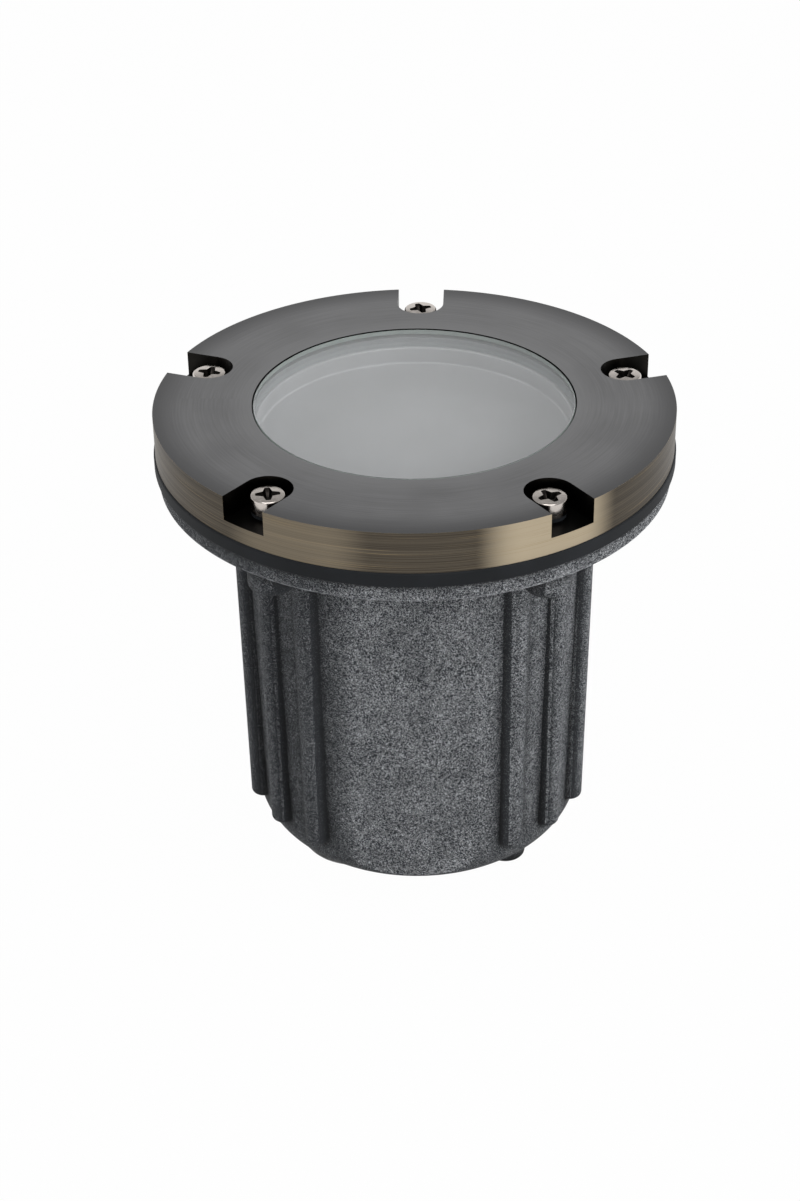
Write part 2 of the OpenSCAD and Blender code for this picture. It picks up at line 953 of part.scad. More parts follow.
module lamp_socket() {
    color("#ece9e2")
        translate([0, 0, tilt_z - lamp_drop - socket_size[2]])
            difference() {
                translate([-socket_size[0] / 2, -socket_size[1] / 2, 0])
                    cube(socket_size);
                for (side = [-1, 1])
                    translate([side * pin_pitch / 2, 0, socket_size[2] - pin_len - pin_r])
                        cylinder(h = pin_len + pin_r + overrun, r = pin_r, $fn = 32);
            }
}

housing();
housing_flange();
screw_lugs();
feet();
threaded_inserts();
rim_gasket();
gland_body();
gland_washer();
gland_locknut();
gland_seal();
gland_nut();
plate_standoffs();
mounting_plate();
plate_screws();
plate_grommet();
terminal_block();
terminal_screws();
pivot_bolt();
pivot_nut();
pivot_washer();
friction_washer();
cover_ring();
lens_glass();
lens_seal();
lens_gasket();
diffuser();
lens_retainer();
retainer_screws();
screw_washers();
screw_seals();
cover_screw(0);  // cover_screw_1
cover_screw(1);  // cover_screw_2
cover_screw(2);  // cover_screw_3
cover_screw(3);  // cover_screw_4
cover_screw(4);  // cover_screw_5
yoke();
tilt_screws();
tilt_washers();
lamp_ring();
lamp_body();
lamp_lens();
lamp_capsule();
lamp_clip();
lamp_pins();
lamp_socket();
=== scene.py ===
# %% [markdown]
# # In ground well light
# This light is buried in a path up to its cover, so only a thick bronze ring, a flush lens and five
# screws show when it is in use. Here it stands out of the ground, so the ribbed canister shows too.
# The CAD model already fixes every place and size. This lesson gives it the surfaces that a person
# would see: moulded composite, turned bronze, rubber, glass and bright screws.

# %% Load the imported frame
import math

import bmesh
import bpy
import numpy as np
from mathutils import Matrix, Vector


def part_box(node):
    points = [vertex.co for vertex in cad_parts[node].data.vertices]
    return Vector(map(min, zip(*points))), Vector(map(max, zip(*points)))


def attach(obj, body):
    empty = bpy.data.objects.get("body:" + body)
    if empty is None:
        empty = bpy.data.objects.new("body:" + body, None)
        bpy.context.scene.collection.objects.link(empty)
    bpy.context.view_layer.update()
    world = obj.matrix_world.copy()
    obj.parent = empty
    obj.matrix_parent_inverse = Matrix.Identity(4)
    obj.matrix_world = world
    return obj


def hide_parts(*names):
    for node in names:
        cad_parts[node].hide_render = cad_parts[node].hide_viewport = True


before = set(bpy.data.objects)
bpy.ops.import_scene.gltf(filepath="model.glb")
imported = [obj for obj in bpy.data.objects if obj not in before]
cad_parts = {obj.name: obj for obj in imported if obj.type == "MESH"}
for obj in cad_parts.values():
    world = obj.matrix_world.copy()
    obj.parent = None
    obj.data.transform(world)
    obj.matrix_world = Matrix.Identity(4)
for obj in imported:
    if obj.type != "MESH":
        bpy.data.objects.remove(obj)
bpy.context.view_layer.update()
MM = 0.001
print("nodes:", len(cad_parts))

# %% [markdown]
# Every size below is read from the CAD nodes, in millimetres, so that a changed part still gets a
# fitting skin. A node's box gives its lowest and highest corner.

# %% Sizes from the CAD nodes


def levels(node):
    """The lowest and highest level of a node, in millimetres."""
    low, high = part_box(node)
    return low.z / MM, high.z / MM


def reach(node):
    """The radius of a round node on the axis, in millimetres."""
    low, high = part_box(node)
    return (high.x - low.x) / 2 / MM


def solids(node):
    """The middle and the radius of each separate solid of a node, in millimetres."""
    work = bmesh.new()
    work.from_mesh(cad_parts[node].data)
    found, seen = [], set()
    for first in work.verts:
        if first in seen:
            continue
        seen.add(first)
        group = [first]
        for vert in group:
            fresh = {edge.other_vert(vert) for edge in vert.link_edges} - seen
            seen |= fresh
            group.extend(fresh)
        points = np.array([vert.co for vert in group]) / MM
        middle = (points.min(axis=0) + points.max(axis=0)) / 2
        found.append(((middle[0], middle[1]), (points[:, 0].max() - points[:, 0].min()) / 2))
    work.free()
    return found


cover_z, top_z = levels("cover_ring")
rim_z = levels("rim_gasket")[0]
lug_z = levels("screw_lugs")[0]
flange_z = levels("housing_flange")[0]
base_z = levels("feet")[1]
head_z = levels("screw_washers")[1]
tip_z, head_top_z = levels("cover_screw_1")
lens_z, lens_top_z = levels("lens_glass")
cup_z, cup_rim_z = levels("diffuser")
cover_r = reach("cover_ring")
gasket_r = reach("rim_gasket")
flange_r = reach("housing_flange")
lip_r = reach("lens_glass")
retainer_r = reach("lens_retainer")
screw_head_r = reach("cover_screw_1")
screw_low, screw_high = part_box("cover_screw_1")
screw_offset = (screw_low.y + screw_high.y) / 2 / MM
SCREWS = 5
SCREW_ANGLES = [math.radians(90 + i * 360 / SCREWS) for i in range(SCREWS)]
FEET = solids("feet")
GLAND, gland_nut_r = solids("gland_nut")[0]
lug_r = solids("screw_lugs")[0][1]
print(f"cover {2 * cover_r:.1f} mm across, {top_z:.1f} mm high, screws at {screw_offset:.1f} mm")
print(f"{len(FEET)} feet, gland nut {2 * gland_nut_r:.1f} mm across, lugs {2 * lug_r:.1f} mm across")

# %% [markdown]
# The camera was worked out from the photograph: its lens, its distance and how it is turned. It looks
# at the cover's middle, which lies left of and above the picture's middle, so the camera is turned a
# little away from it rather than shifted.

# %% Camera
PICTURE = (800, 1201)
FOCUS_PX = 2282.06
COVER_PX = (414.19, 399.58)
CAMERA_AWAY = 701.6
CAMERA_LIFT = math.radians(27.502)
CAMERA_ROLL = -0.01037
CAMERA_ROUND = math.radians(1.997)
SENSOR_MM = 36


def photo_camera():
    data = bpy.data.cameras.new("photo_camera")
    data.sensor_fit = "VERTICAL"
    data.sensor_height = SENSOR_MM
    data.lens = FOCUS_PX * SENSOR_MM / PICTURE[1]
    eye = Vector((0, -math.cos(CAMERA_LIFT), math.sin(CAMERA_LIFT))) * CAMERA_AWAY * MM
    onward = -eye.normalized()
    up = Vector((1, 0, 0)).cross(onward)
    level = Matrix(((1, 0, 0), up, onward)).transposed()
    target = Vector(((COVER_PX[0] - PICTURE[0] / 2) / FOCUS_PX,
                     -(COVER_PX[1] - PICTURE[1] / 2) / FOCUS_PX, 1)).normalized()
    aim = Matrix.Rotation(math.atan2(target.x, target.z), 3, "Y")
    aim = aim @ Matrix.Rotation(-math.asin(target.y), 3, "X")
    turn = Matrix.Rotation(CAMERA_ROUND, 3, "Z")
    axes = turn @ level @ Matrix.Rotation(CAMERA_ROLL, 3, "Z") @ aim.transposed()
    right, upward, onward = axes.col
    place = turn @ eye + Vector((0, 0, top_z * MM))
    camera = bpy.data.objects.new("photo_camera", data)
    camera.matrix_world = Matrix((right, upward, -onward)).transposed().to_4x4()
    camera.location = place
    bpy.context.scene.collection.objects.link(camera)
    bpy.context.scene.camera = camera
    return camera


camera = photo_camera()
print("camera at", [round(v, 3) for v in camera.location])

# %% [markdown]
# A studio has a white floor and backdrop and a few large soft lamps. The lamps and the world light the
# object at a plain level. The white that the camera sees is painted for its rays only, so the picture
# has a white ground without more light on the object. Metal and glass see it too, and higher up it
# fades to grey, as the ceiling of a studio does: that gives the cover its soft slope of tone. The four
# lamps at the sides stay out of reflections, as if behind the cloth of a light tent. Otherwise the
# cover and the lens would turn pure white where they mirror one.

# %% Colours


def srgb(hex_code):
    """An sRGB hex colour as the linear colour that a shader takes."""
    parts = [int(hex_code[i:i + 2], 16) / 255 for i in (1, 3, 5)]
    linear = [p / 12.92 if p <= 0.04045 else ((p + 0.055) / 1.055) ** 2.4 for p in parts]
    return (*linear, 1)


def plug(tree, node, inputs):
    """Fills inputs of a node. Each takes a plain value or another node's output."""
    for name, value in inputs.items():
        if isinstance(value, bpy.types.NodeSocket):
            tree.links.new(value, node.inputs[name])
        else:
            node.inputs[name].default_value = value


def add(tree, kind, inputs=None, out=0, **settings):
    """Adds a shader node and gives back one of its outputs, or all of them where out is None."""
    node = tree.nodes.new("ShaderNode" + kind)
    for name, value in settings.items():
        setattr(node, name, value)
    plug(tree, node, inputs or {})
    return node.outputs if out is None else node.outputs[out]


# what makes a Mix node blend the colours in its inputs 6 and 7
BLEND = {"data_type": "RGBA", "out": 2}


# %% World, floor and lamps
WORLD_LIGHT = 0.1
HORIZON = 1.0
CEILING = 0.4
FADE = (0.38, 0.54)
FLOOR_WHITE = 0.985
FLOOR_DROP = 0.0002
LAMPS = {
    # name: place and size in metres, power in watts, and whether metal and glass mirror it
    "right_lamp": ((0.85, -0.55, 0.5), (1.5, 1.1), 15, False),
    "left_lamp": ((-0.78, -0.66, 0.5), (0.9, 0.8), 4, False),
    "back_right_lamp": ((0.83, 0.58, 0.5), (1.0, 0.9), 5, False),
    "back_left_lamp": ((-0.83, 0.58, 0.5), (1.0, 0.9), 5, False),
    "top_lamp": ((0, -0.35, 1.2), (0.9, 0.6), 5.5, True),
}
LIT_MIDDLE = Vector((0, 0, 0.1))


def seen_by(tree):
    """Which rays come from the camera, and which from metal or glass."""
    rays = add(tree, "LightPath", out=None)
    clear = add(tree, "Math", {0: rays["Is Glossy Ray"], 1: rays["Is Transmission Ray"]},
                operation="MAXIMUM")
    return rays["Is Camera Ray"], clear


def studio_world():
    world = bpy.data.worlds.new("studio")
    bpy.context.scene.world = world
    world.use_nodes = True
    tree = world.node_tree
    tree.nodes.clear()
    camera_rays, clear = seen_by(tree)
    way = add(tree, "TexCoord", out="Generated")
    height = add(tree, "SeparateXYZ", {0: way}, "Z")
    fade = add(tree, "MapRange", {"Value": height, "From Min": FADE[0], "From Max": FADE[1],
                                  "To Min": HORIZON, "To Max": CEILING},
               interpolation_type="SMOOTHSTEP")
    soft = add(tree, "Mix", {0: clear, 2: WORLD_LIGHT, 3: fade})
    level = add(tree, "Mix", {0: camera_rays, 2: soft, 3: HORIZON})
    ground = add(tree, "Background", {"Color": srgb("#ffffff"), "Strength": level})
    add(tree, "OutputWorld", {"Surface": ground}, None)


def studio_floor():
    """A matt white sheet, drawn almost white for the camera, with the shadow kept."""
    bpy.ops.mesh.primitive_plane_add(size=8, location=(0, 0, -FLOOR_DROP))
    floor = bpy.context.object
    floor.name = "floor"
    material = bpy.data.materials.new("white paper sheet")
    material.use_nodes = True
    tree = material.node_tree
    tree.nodes.clear()
    paper = add(tree, "BsdfDiffuse", {"Color": srgb("#a8a8a8")})
    white = add(tree, "Emission", {"Color": srgb("#ffffff"), "Strength": HORIZON})
    camera_rays, clear = seen_by(tree)
    clear = add(tree, "Math", {0: camera_rays, 1: clear}, operation="MAXIMUM")
    share = add(tree, "Math", {0: clear, 1: FLOOR_WHITE}, operation="MULTIPLY")
    mixed = add(tree, "MixShader", {0: share, 1: paper, 2: white})
    add(tree, "OutputMaterial", {"Surface": mixed}, None)
    floor.data.materials.append(material)


def soft_lamp(name, place, size, power, mirrored):
    """A soft box that points at the middle of the object."""
    data = bpy.data.lights.new(name, "AREA")
    data.shape = "RECTANGLE"
    data.size, data.size_y = size
    data.energy = power
    lamp = bpy.data.objects.new(name, data)
    lamp.location = place
    lamp.rotation_euler = (LIT_MIDDLE - Vector(place)).to_track_quat("-Z", "Y").to_euler()
    lamp.visible_glossy = mirrored
    bpy.context.scene.collection.objects.link(lamp)


studio_world()
studio_floor()
for name, lamp in LAMPS.items():
    soft_lamp(name, *lamp)
bpy.context.scene.view_settings.view_transform = "Standard"
print("world, floor and five lamps")

# %% [markdown]
# Most pieces of this light are turned or moulded round an axis. One function makes them all: it takes
# rows of points round the axis, each row with a height and a radius. A row's radius may change round
# the turn, which gives flats, ribs, flutes and screw threads with the same few lines. Corners of a
# section are rounded first, because no real edge is perfectly sharp and only a rounded one shines.

# %% Turned shapes


def around(count):
    """Angles evenly spread round the axis."""
    return np.linspace(0, 2 * math.pi, count, endpoint=False)


TURN = around(192)
FINE_TURN = around(256)


def rounded(corners, steps=4):
    """The points of an outline given as corners (x, y, radius of its rounding)."""
    points = []
    for i, (x, y, radius) in enumerate(corners):
        here = Vector((x, y))
        if radius == 0:
            points.append((x, y))
            continue
        back = (Vector(corners[i - 1][:2]) - here).normalized()
        onward = (Vector(corners[(i + 1) % len(corners)][:2]) - here).normalized()
        half = back.angle(onward) / 2
        centre = here + (back + onward).normalized() * radius / math.sin(half)
        start = here + back * radius / math.tan(half) - centre
        end = here + onward * radius / math.tan(half) - centre
        first = math.atan2(start.y, start.x)
        sweep = (math.atan2(end.y, end.x) - first + math.pi) % (2 * math.pi) - math.pi
        for k in range(steps + 1):
            angle = first + sweep * k / steps
            points.append((centre.x + radius * math.cos(angle), centre.y + radius * math.sin(angle)))
    return points


def new_piece(name, points, faces):
    mesh = bpy.data.meshes.new(name)
    mesh.from_pydata(points, [], faces)
    piece = bpy.data.objects.new(name, mesh)
    bpy.context.scene.collection.objects.link(piece)
    return piece


def turned(name, rows, angles=TURN, at=(0, 0)):
    """A closed mesh from rows (radius, height) round an axis; a radius may be one per angle."""
    points, faces, starts, sizes = [], [], [], []
    for radius, height in rows:
        starts.append(len(points))
        if np.max(radius) < MM:
            points.append((at[0] * MM, at[1] * MM, height * MM))
            sizes.append(1)
            continue
        xs = (at[0] + radius * np.cos(angles)) * MM
        ys = (at[1] + radius * np.sin(angles)) * MM
        points.extend((x, y, height * MM) for x, y in zip(xs, ys))
        sizes.append(len(angles))
    count = len(angles)
    for i, start in enumerate(starts):
        j = (i + 1) % len(starts)
        after = starts[j]
        for k in range(count):
            m = (k + 1) % count
            if sizes[i] > 1 and sizes[j] > 1:
                faces.append((start + k, start + m, after + m, after + k))
            elif sizes[i] > 1:
                faces.append((start + k, start + m, after))
            elif sizes[j] > 1:
                faces.append((start, after + m, after + k))
    piece = new_piece(name, points, faces)
    work = bmesh.new()
    work.from_mesh(piece.data)
    bmesh.ops.recalc_face_normals(work, faces=work.faces)
    work.to_mesh(piece.data)
    work.free()
    return piece


def prism(name, outline, low, high):
    """An upright bar with the outline given in millimetres."""
    count = len(outline)
    points = [(x * MM, y * MM, z * MM) for z in (low, high) for x, y in outline]
    sides = [(i, (i + 1) % count, count + (i + 1) % count, count + i) for i in range(count)]
    caps = [tuple(reversed(range(count))), tuple(range(count, 2 * count))]
    return new_piece(name, points, sides + caps)


def settle_modifiers(piece):
    """Makes what the modifiers do part of the mesh."""
    graph = bpy.context.evaluated_depsgraph_get()
    mesh = bpy.data.meshes.new_from_object(piece.evaluated_get(graph))
    piece.modifiers.clear()
    spent = piece.data
    piece.data = mesh
    bpy.data.meshes.remove(spent)
    return piece


def combine(piece, others, operation, solver="MANIFOLD"):
    """Joins other solids to a piece or cuts them out of it."""
    for other in others:
        step = piece.modifiers.new("combine", "BOOLEAN")
        step.operation = operation
        step.solver = solver
        step.object = other
    settle_modifiers(piece)
    for other in others:
        bpy.data.objects.remove(other)
    return piece


def smooth(piece, degrees=32):
    """Shades a piece smooth, with flat faces kept flat next to their rounded edges."""
    piece.data.shade_smooth()
    piece.data.set_sharp_from_angle(angle=math.radians(degrees))
    weighted = piece.modifiers.new("flat faces stay flat", "WEIGHTED_NORMAL")
    weighted.keep_sharp = True
    return settle_modifiers(piece)


def dress(piece, material, body, *nodes):
    """Gives a piece its finish and its body, and hides the CAD nodes that it stands for."""
    if material:
        piece.data.materials.clear()
        piece.data.materials.append(material)
    piece.name = nodes[0] + "_skin"
    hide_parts(*nodes)
    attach(piece, body)
    print(f"{piece.name}: {len(piece.data.polygons)} faces")
    return piece


# %% [markdown]
# The canister is compression moulded from a bulk moulding compound: polyester resin with short glass
# fibres. They show as pale flecks in a dark grey skin. The flecks lie thick on the flats and thin out
# on the ribs and round the base. Fewer flecks on slopes and at the left are painted shade, which
# darkens the rib flanks and the left side. The nooks are painted nearly black with shade and have no
# flecks.
# Along its lower edge the flange has a painted highlight, a pale line in patches. Ridged noise draws
# the
# flecks: it is bright only where the noise crosses its middle value, along thin curls. A narrower band
# round that value gives fewer flecks, not dimmer ones. Real fibres are finer than the picture can show,
# so the flecks are drawn coarser.

# %% Moulded composite


def object_place(tree):
    return add(tree, "TexCoord", out="Object")


def round_axis(tree):
    """Where a point is: its X, Y and Z, its distance from the axis and the way outward."""
    parts = add(tree, "SeparateXYZ", {0: object_place(tree)}, None)
    flat = add(tree, "CombineXYZ", {0: parts["X"], 1: parts["Y"]})
    radius = add(tree, "VectorMath", {0: flat}, operation="LENGTH", out=1)
    outward = add(tree, "VectorMath", {0: flat}, operation="NORMALIZE")
    return parts, radius, outward


def blank_material(name):
    material = bpy.data.materials.new(name)
    material.use_nodes = True
    return material, material.node_tree, material.node_tree.nodes["Principled BSDF"]


DRAFT = 0.0213
BODY_TOP_R = 56.1
# Sizes of the pattern. The flecks thin out over a range of X, as painted shade on the left, and over a
# range above the base.
FLECK_MM = 0.7
CLOUD_MM = 9
GRIT_MM = 0.4
HIGHLIGHT_BREAK_MM = 3
NOOK_MM = 6
PAINTED_SHADE_LEFT_MM = (-24, -17)
THIN_BASE_MM = (12, 26)
EDGE_HIGHLIGHT_RISE_MM = (0.75, 0.35)


def moulded_composite():
    """Glass fibre filled polyester, moulded, matt and speckled."""
    material, tree, shader = blank_material("moulded fibre composite")
    place = object_place(tree)
    parts, radius, outward = round_axis(tree)
    tangle = add(tree, "TexNoise", {"Vector": place, "Scale": 1 / (FLECK_MM * MM), "Detail": 3.0,
                                    "Roughness": 0.6, "Distortion": 0.8})
    off = add(tree, "Math", {0: tangle, 1: 0.5}, operation="SUBTRACT")
    off = add(tree, "Math", {0: off}, operation="ABSOLUTE")
    # The flats count as square to the way outward all over. Slopes have fewer flecks: painted shade on
    # the rib flanks.
    normal = add(tree, "NewGeometry", out="Normal")
    square = add(tree, "VectorMath", {0: outward, 1: normal}, operation="DOT_PRODUCT", out=1)
    square = add(tree, "Math", {0: square}, operation="ABSOLUTE")
    facing = add(tree, "Math", {0: add(tree, "SeparateXYZ", {0: normal}, "Y")},
                 operation="ABSOLUTE")
    on_flat = add(tree, "MapRange", {"Value": facing, "From Min": 0.985, "From Max": 0.995})
    square = add(tree, "Math", {0: square, 1: on_flat}, operation="MAXIMUM")
    painted_slope_shade = add(tree, "MapRange", {"Value": square, "From Min": 0.72, "From Max": 0.99,
                                     "To Min": 0.1})
    # Painted shade: fewer flecks toward the left darken that side.
    painted_left_shade = add(tree, "MapRange", {"Value": parts["X"], "From Min": PAINTED_SHADE_LEFT_MM[0] * MM,
                                  "From Max": PAINTED_SHADE_LEFT_MM[1] * MM, "To Min": 0.5})
    chin = add(tree, "MapRange", {"Value": parts["Z"], "From Min": (base_z + THIN_BASE_MM[0]) * MM,
                                  "From Max": (base_z + THIN_BASE_MM[1]) * MM, "To Min": 0.5})
    chin = add(tree, "Math", {0: chin, 1: on_flat}, operation="MAXIMUM")
    # A rib stands proud of the tapered wall, below the level of the lugs.
    proud = add(tree, "Math", {0: parts["Z"], 1: -DRAFT, 2: (DRAFT * flange_z - BODY_TOP_R) * MM},
                operation="MULTIPLY_ADD")
    proud = add(tree, "Math", {0: proud, 1: radius}, operation="ADD")
    on_rib = add(tree, "MapRange", {"Value": proud, "From Min": 0.3 * MM, "From Max": 1.2 * MM})
    below = add(tree, "MapRange", {"Value": parts["Z"], "From Min": lug_z * MM,
                                   "From Max": (lug_z - 3) * MM})
    on_rib = add(tree, "Math", {0: on_rib, 1: below}, operation="MULTIPLY")
    worked = add(tree, "Mix", {0: on_rib, 2: 1.0, 3: 0.8})
    cloud = add(tree, "TexNoise", {"Vector": place, "Scale": 1 / (CLOUD_MM * MM), "Detail": 3.0,
                                   "Roughness": 0.6})
    cloud = add(tree, "MapRange", {"Value": cloud, "From Min": 0.32, "From Max": 0.68,
                                   "To Min": 0.6})
    for part in (painted_slope_shade, painted_left_shade, chin, worked):
        cloud = add(tree, "Math", {0: cloud, 1: part}, operation="MULTIPLY")
    # Painted shade: the nooks lose their flecks and turn nearly black.
    open_air = add(tree, "AmbientOcclusion", {"Distance": NOOK_MM * MM}, samples=6, out="AO")
    painted_nook_shade = add(tree, "MapRange", {"Value": open_air, "From Min": 0.68, "From Max": 0.98})
    spread = add(tree, "Math", {0: cloud, 1: painted_nook_shade}, operation="MULTIPLY")
    width = add(tree, "MapRange", {"Value": spread, "To Min": 0.0005, "To Max": 0.042})
    share = add(tree, "MapRange", {"Value": off, "From Max": width, "To Min": 1.0, "To Max": 0.0})
    skin = add(tree, "Mix", {0: cloud, 6: srgb("#25272a"), 7: srgb("#323438")}, **BLEND)
    flecked = add(tree, "Mix", {0: share, 6: skin, 7: srgb("#dadde0")}, **BLEND)
    # Painted highlight: a pale line in patches along the flange's lower edge.
    low_edge = add(tree, "MapRange", {"Value": parts["Z"],
                                      "From Min": (flange_z + EDGE_HIGHLIGHT_RISE_MM[0]) * MM,
                                      "From Max": (flange_z + EDGE_HIGHLIGHT_RISE_MM[1]) * MM})
    far_out = add(tree, "MapRange", {"Value": radius, "From Min": (flange_r - 1.0) * MM,
                                     "From Max": (flange_r - 0.5) * MM})
    highlight_breaks = add(tree, "TexNoise", {"Vector": place, "Scale": 1 / (HIGHLIGHT_BREAK_MM * MM), "Detail": 3.0})
    highlight_breaks = add(tree, "MapRange", {"Value": highlight_breaks, "From Min": 0.4, "From Max": 0.6,
                                   "To Min": 0.1, "To Max": 0.8})
    edge_highlight = add(tree, "Math", {0: low_edge, 1: far_out}, operation="MULTIPLY")
    edge_highlight = add(tree, "Math", {0: edge_highlight, 1: highlight_breaks}, operation="MULTIPLY")
    with_edge_highlight = add(tree, "Mix", {0: edge_highlight, 6: flecked, 7: srgb("#a3a6aa")}, **BLEND)
    colour = add(tree, "Mix", {0: painted_nook_shade, 6: srgb("#0d0e0f"), 7: with_edge_highlight}, **BLEND)
    rough = add(tree, "MapRange", {"Value": share, "To Min": 0.7, "To Max": 0.5})
    grit = add(tree, "TexNoise", {"Vector": place, "Scale": 1 / (GRIT_MM * MM)})
    relief = add(tree, "Math", {0: grit, 1: share}, operation="ADD")
    bump = add(tree, "Bump", {"Height": relief, "Strength": 0.6, "Distance": 0.00014})
    plug(tree, shader, {"Base Color": colour, "Roughness": rough, "Specular IOR Level": 0.2,
                        "Normal": bump})
    return material


composite = moulded_composite()
print("finish:", composite.name)

# %% [markdown]
# The canister has a tapered round body with a rounded base, a flat at the front and back, twelve ribs
# that run down from the flange, five lugs for the screws and two feet. Lofts or booleans would leave
# hard creases where the ribs meet the wall. A distance field gives the soft fillets of a moulding: at
# each height and angle a ray is halved until it meets the blended surface.

# %% Canister sizes
WALL = 5.2
FLAT_WALL = 4.5
BASE_ROUND = 12.5
FLAT_CUT = 3.7
MOUTH_DEPTH = 3
RIB_FOOT_R = 4
RIB_TOP_R = 5.3
RIB_RISE = 13.5
RIB_INSET = 2.3
RIB_DEGREES = (35, 52.5, 70)
RIB_ROUND = 1.6
RIB_FILLET = 0.25
FLANGE_FILLET = 1.4
FLAT_CREASE = 0.12
FLANGE_ROUND = 0.6
LUG_FILLET = 1.6
FOOT_FLARE = 0.9
INSERT_R = 3.5
INSERT_FLOOR = 1.2
GLAND_HOLE_R = 12.55
HALVINGS = 26
floor_z = levels("plate_standoffs")[0]


def screw_at(angle):
    return screw_offset * math.cos(angle), screw_offset * math.sin(angle)


def body_r(z):
    return BODY_TOP_R - DRAFT * (flange_z - z)


def flat_y(z):
    return body_r(z) - FLAT_CUT


# %% Canister surface


def blend_low(a, b, width):
    """The smaller of two distances, with the corner between them filled."""
    near = np.maximum(width - np.abs(a - b), 0) / width
    return np.minimum(a, b) - near * near * width / 4


def canister_distance(x, y, z):
    """How far a point lies outside the canister below its flange."""
    radius = np.hypot(x, y)
    arc_z = base_z + BASE_ROUND
    arc_r = body_r(arc_z) - BASE_ROUND
    wall = radius - body_r(z)
    arc = np.hypot(np.maximum(radius - arc_r, 0), z - arc_z) - BASE_ROUND
    solid = np.where(z < arc_z, arc, wall)
    solid = -blend_low(-solid, flat_y(z) - np.abs(y), FLAT_CREASE)
    foot_z = base_z + RIB_RISE
    share = np.clip((z - foot_z) / (flange_z - foot_z), 0, 1)
    rib_r = RIB_FOOT_R + (RIB_TOP_R - RIB_FOOT_R) * share
    for degrees in RIB_DEGREES:
        turn = math.radians(degrees)
        middle = BODY_TOP_R - RIB_INSET
        away = np.hypot(np.abs(x) - middle * math.sin(turn), np.abs(y) - middle * math.cos(turn))
        side = away - rib_r + RIB_ROUND
        under = foot_z + RIB_ROUND - z
        rib = np.hypot(np.maximum(side, 0), np.maximum(under, 0))
        rib = rib + np.minimum(np.maximum(side, under), 0) - RIB_ROUND
        solid = blend_low(solid, rib, RIB_FILLET)
    return blend_low(solid, flange_z - z, FLANGE_FILLET)


def canister_radius(angles, z):
    """The canister's radius at each angle of one level, found by halving."""
    low = np.full(len(angles), 30.0)
    high = np.full(len(angles), BODY_TOP_R + RIB_TOP_R + FLANGE_FILLET)
    for _ in range(HALVINGS):
        middle = (low + high) / 2
        outside = canister_distance(middle * np.cos(angles), middle * np.sin(angles), z) > 0
        high = np.where(outside, middle, high)
        low = np.where(outside, low, middle)
    return high


def canister_angles():
    """Angles round the body, close together where the ribs and the edges of the flats are."""
    quarter = np.concatenate([np.arange(0, 18, 1.5), np.arange(18, 79, 0.25), np.arange(79, 90, 1)])
    return np.radians(np.concatenate([quarter + 90 * i if i % 2 else 90 * (i + 1) - quarter[::-1]
                                      for i in range(4)]))


# %% Canister mesh
# Heights of the mesh's rows above the base, close together where the outline bends.
CHIN = np.concatenate([[0.02, 0.1, 0.3, 0.6, 1.0, 1.5, 2.1], np.arange(2.8, 12.6, 0.35)])
FEET_OF_RIBS = np.arange(13.0, 17.8, 0.4)
UPPER_RIBS = np.linspace(19, 121, 12)
UNDER_FLANGE = np.concatenate([np.arange(122, 126.4, 0.5), [126.6, 126.8, 126.9, 126.97]])


def canister():
    """Rows from the middle of the base up the outside, over the mouth and down the inside."""
    angles = np.unique(np.round(canister_angles() % (2 * math.pi), 6))
    flat_side = np.maximum(np.abs(np.sin(angles)), MM)
    rows = [(0, base_z), (20, base_z), (36, base_z)]
    rows.append((body_r(base_z + BASE_ROUND) - BASE_ROUND - 0.2, base_z))
    for rise in np.concatenate([CHIN, FEET_OF_RIBS, UPPER_RIBS, UNDER_FLANGE]):
        rows.append((canister_radius(angles, base_z + rise), base_z + rise))
    rows.append((rows[-1][0] + 0.25, flange_z))
    rows += rounded([(flange_r - 4, flange_z, 0), (flange_r, flange_z, FLANGE_ROUND),
                     (flange_r, rim_z, 0.4), (flange_r - 4, rim_z, 0)])
    mouth_r = BODY_TOP_R - WALL
    rows += [(mouth_r + 6, rim_z), (mouth_r + 0.3, rim_z), (mouth_r, rim_z - 0.3)]
    rows.append((mouth_r, rim_z - MOUTH_DEPTH))
    for z in np.concatenate([np.linspace(rim_z - MOUTH_DEPTH - 0.02, floor_z + 2, 6), [floor_z + 1]]):
        inner = np.minimum(body_r(z) - WALL, (flat_y(z) - FLAT_WALL) / flat_side)
        rows.append((inner - (0 if z > floor_z + 1.5 else 0.4), z))
    rows.append((rows[-1][0] - 1.2, floor_z + 0.1))
    rows += [(30, floor_z), (0, floor_z)]
    return turned("canister", rows, angles)


def lug(angle):
    """A round lug under the flange, with a rounded end and a fillet where it leaves the flange."""
    section = rounded([(0, lug_z, 0), (lug_r, lug_z, 2.0), (lug_r, flange_z, 0), (0, flange_z, 0)])
    flare = [(lug_r + LUG_FILLET * (1 - math.cos(a)), flange_z - LUG_FILLET * (1 - math.sin(a)))
             for a in np.radians([0, 20, 40, 60, 75])]
    top = [(lug_r + 1.3, flange_z + 0.4), (0, flange_z + 0.4)]
    return turned("lug", section[:-2] + flare + top, TURN[::3], screw_at(angle))


def foot(middle, foot_r):
    section = rounded([(0, 0, 0), (foot_r, 0, 1.3), (foot_r, base_z, 0), (0, base_z, 0)])
    flare = [(foot_r, base_z - 0.8), (foot_r + 0.3, base_z - 0.25),
             (foot_r + FOOT_FLARE, base_z + 0.03)]
    top = [(foot_r + FOOT_FLARE, base_z + 3), (0, base_z + 3)]
    return turned("foot", section[:-2] + flare + top, TURN[::3], middle)


def hole(radius, low, high, at, angles):
    return turned("hole", [(0, low), (radius, low), (radius, high), (0, high)], angles, at)


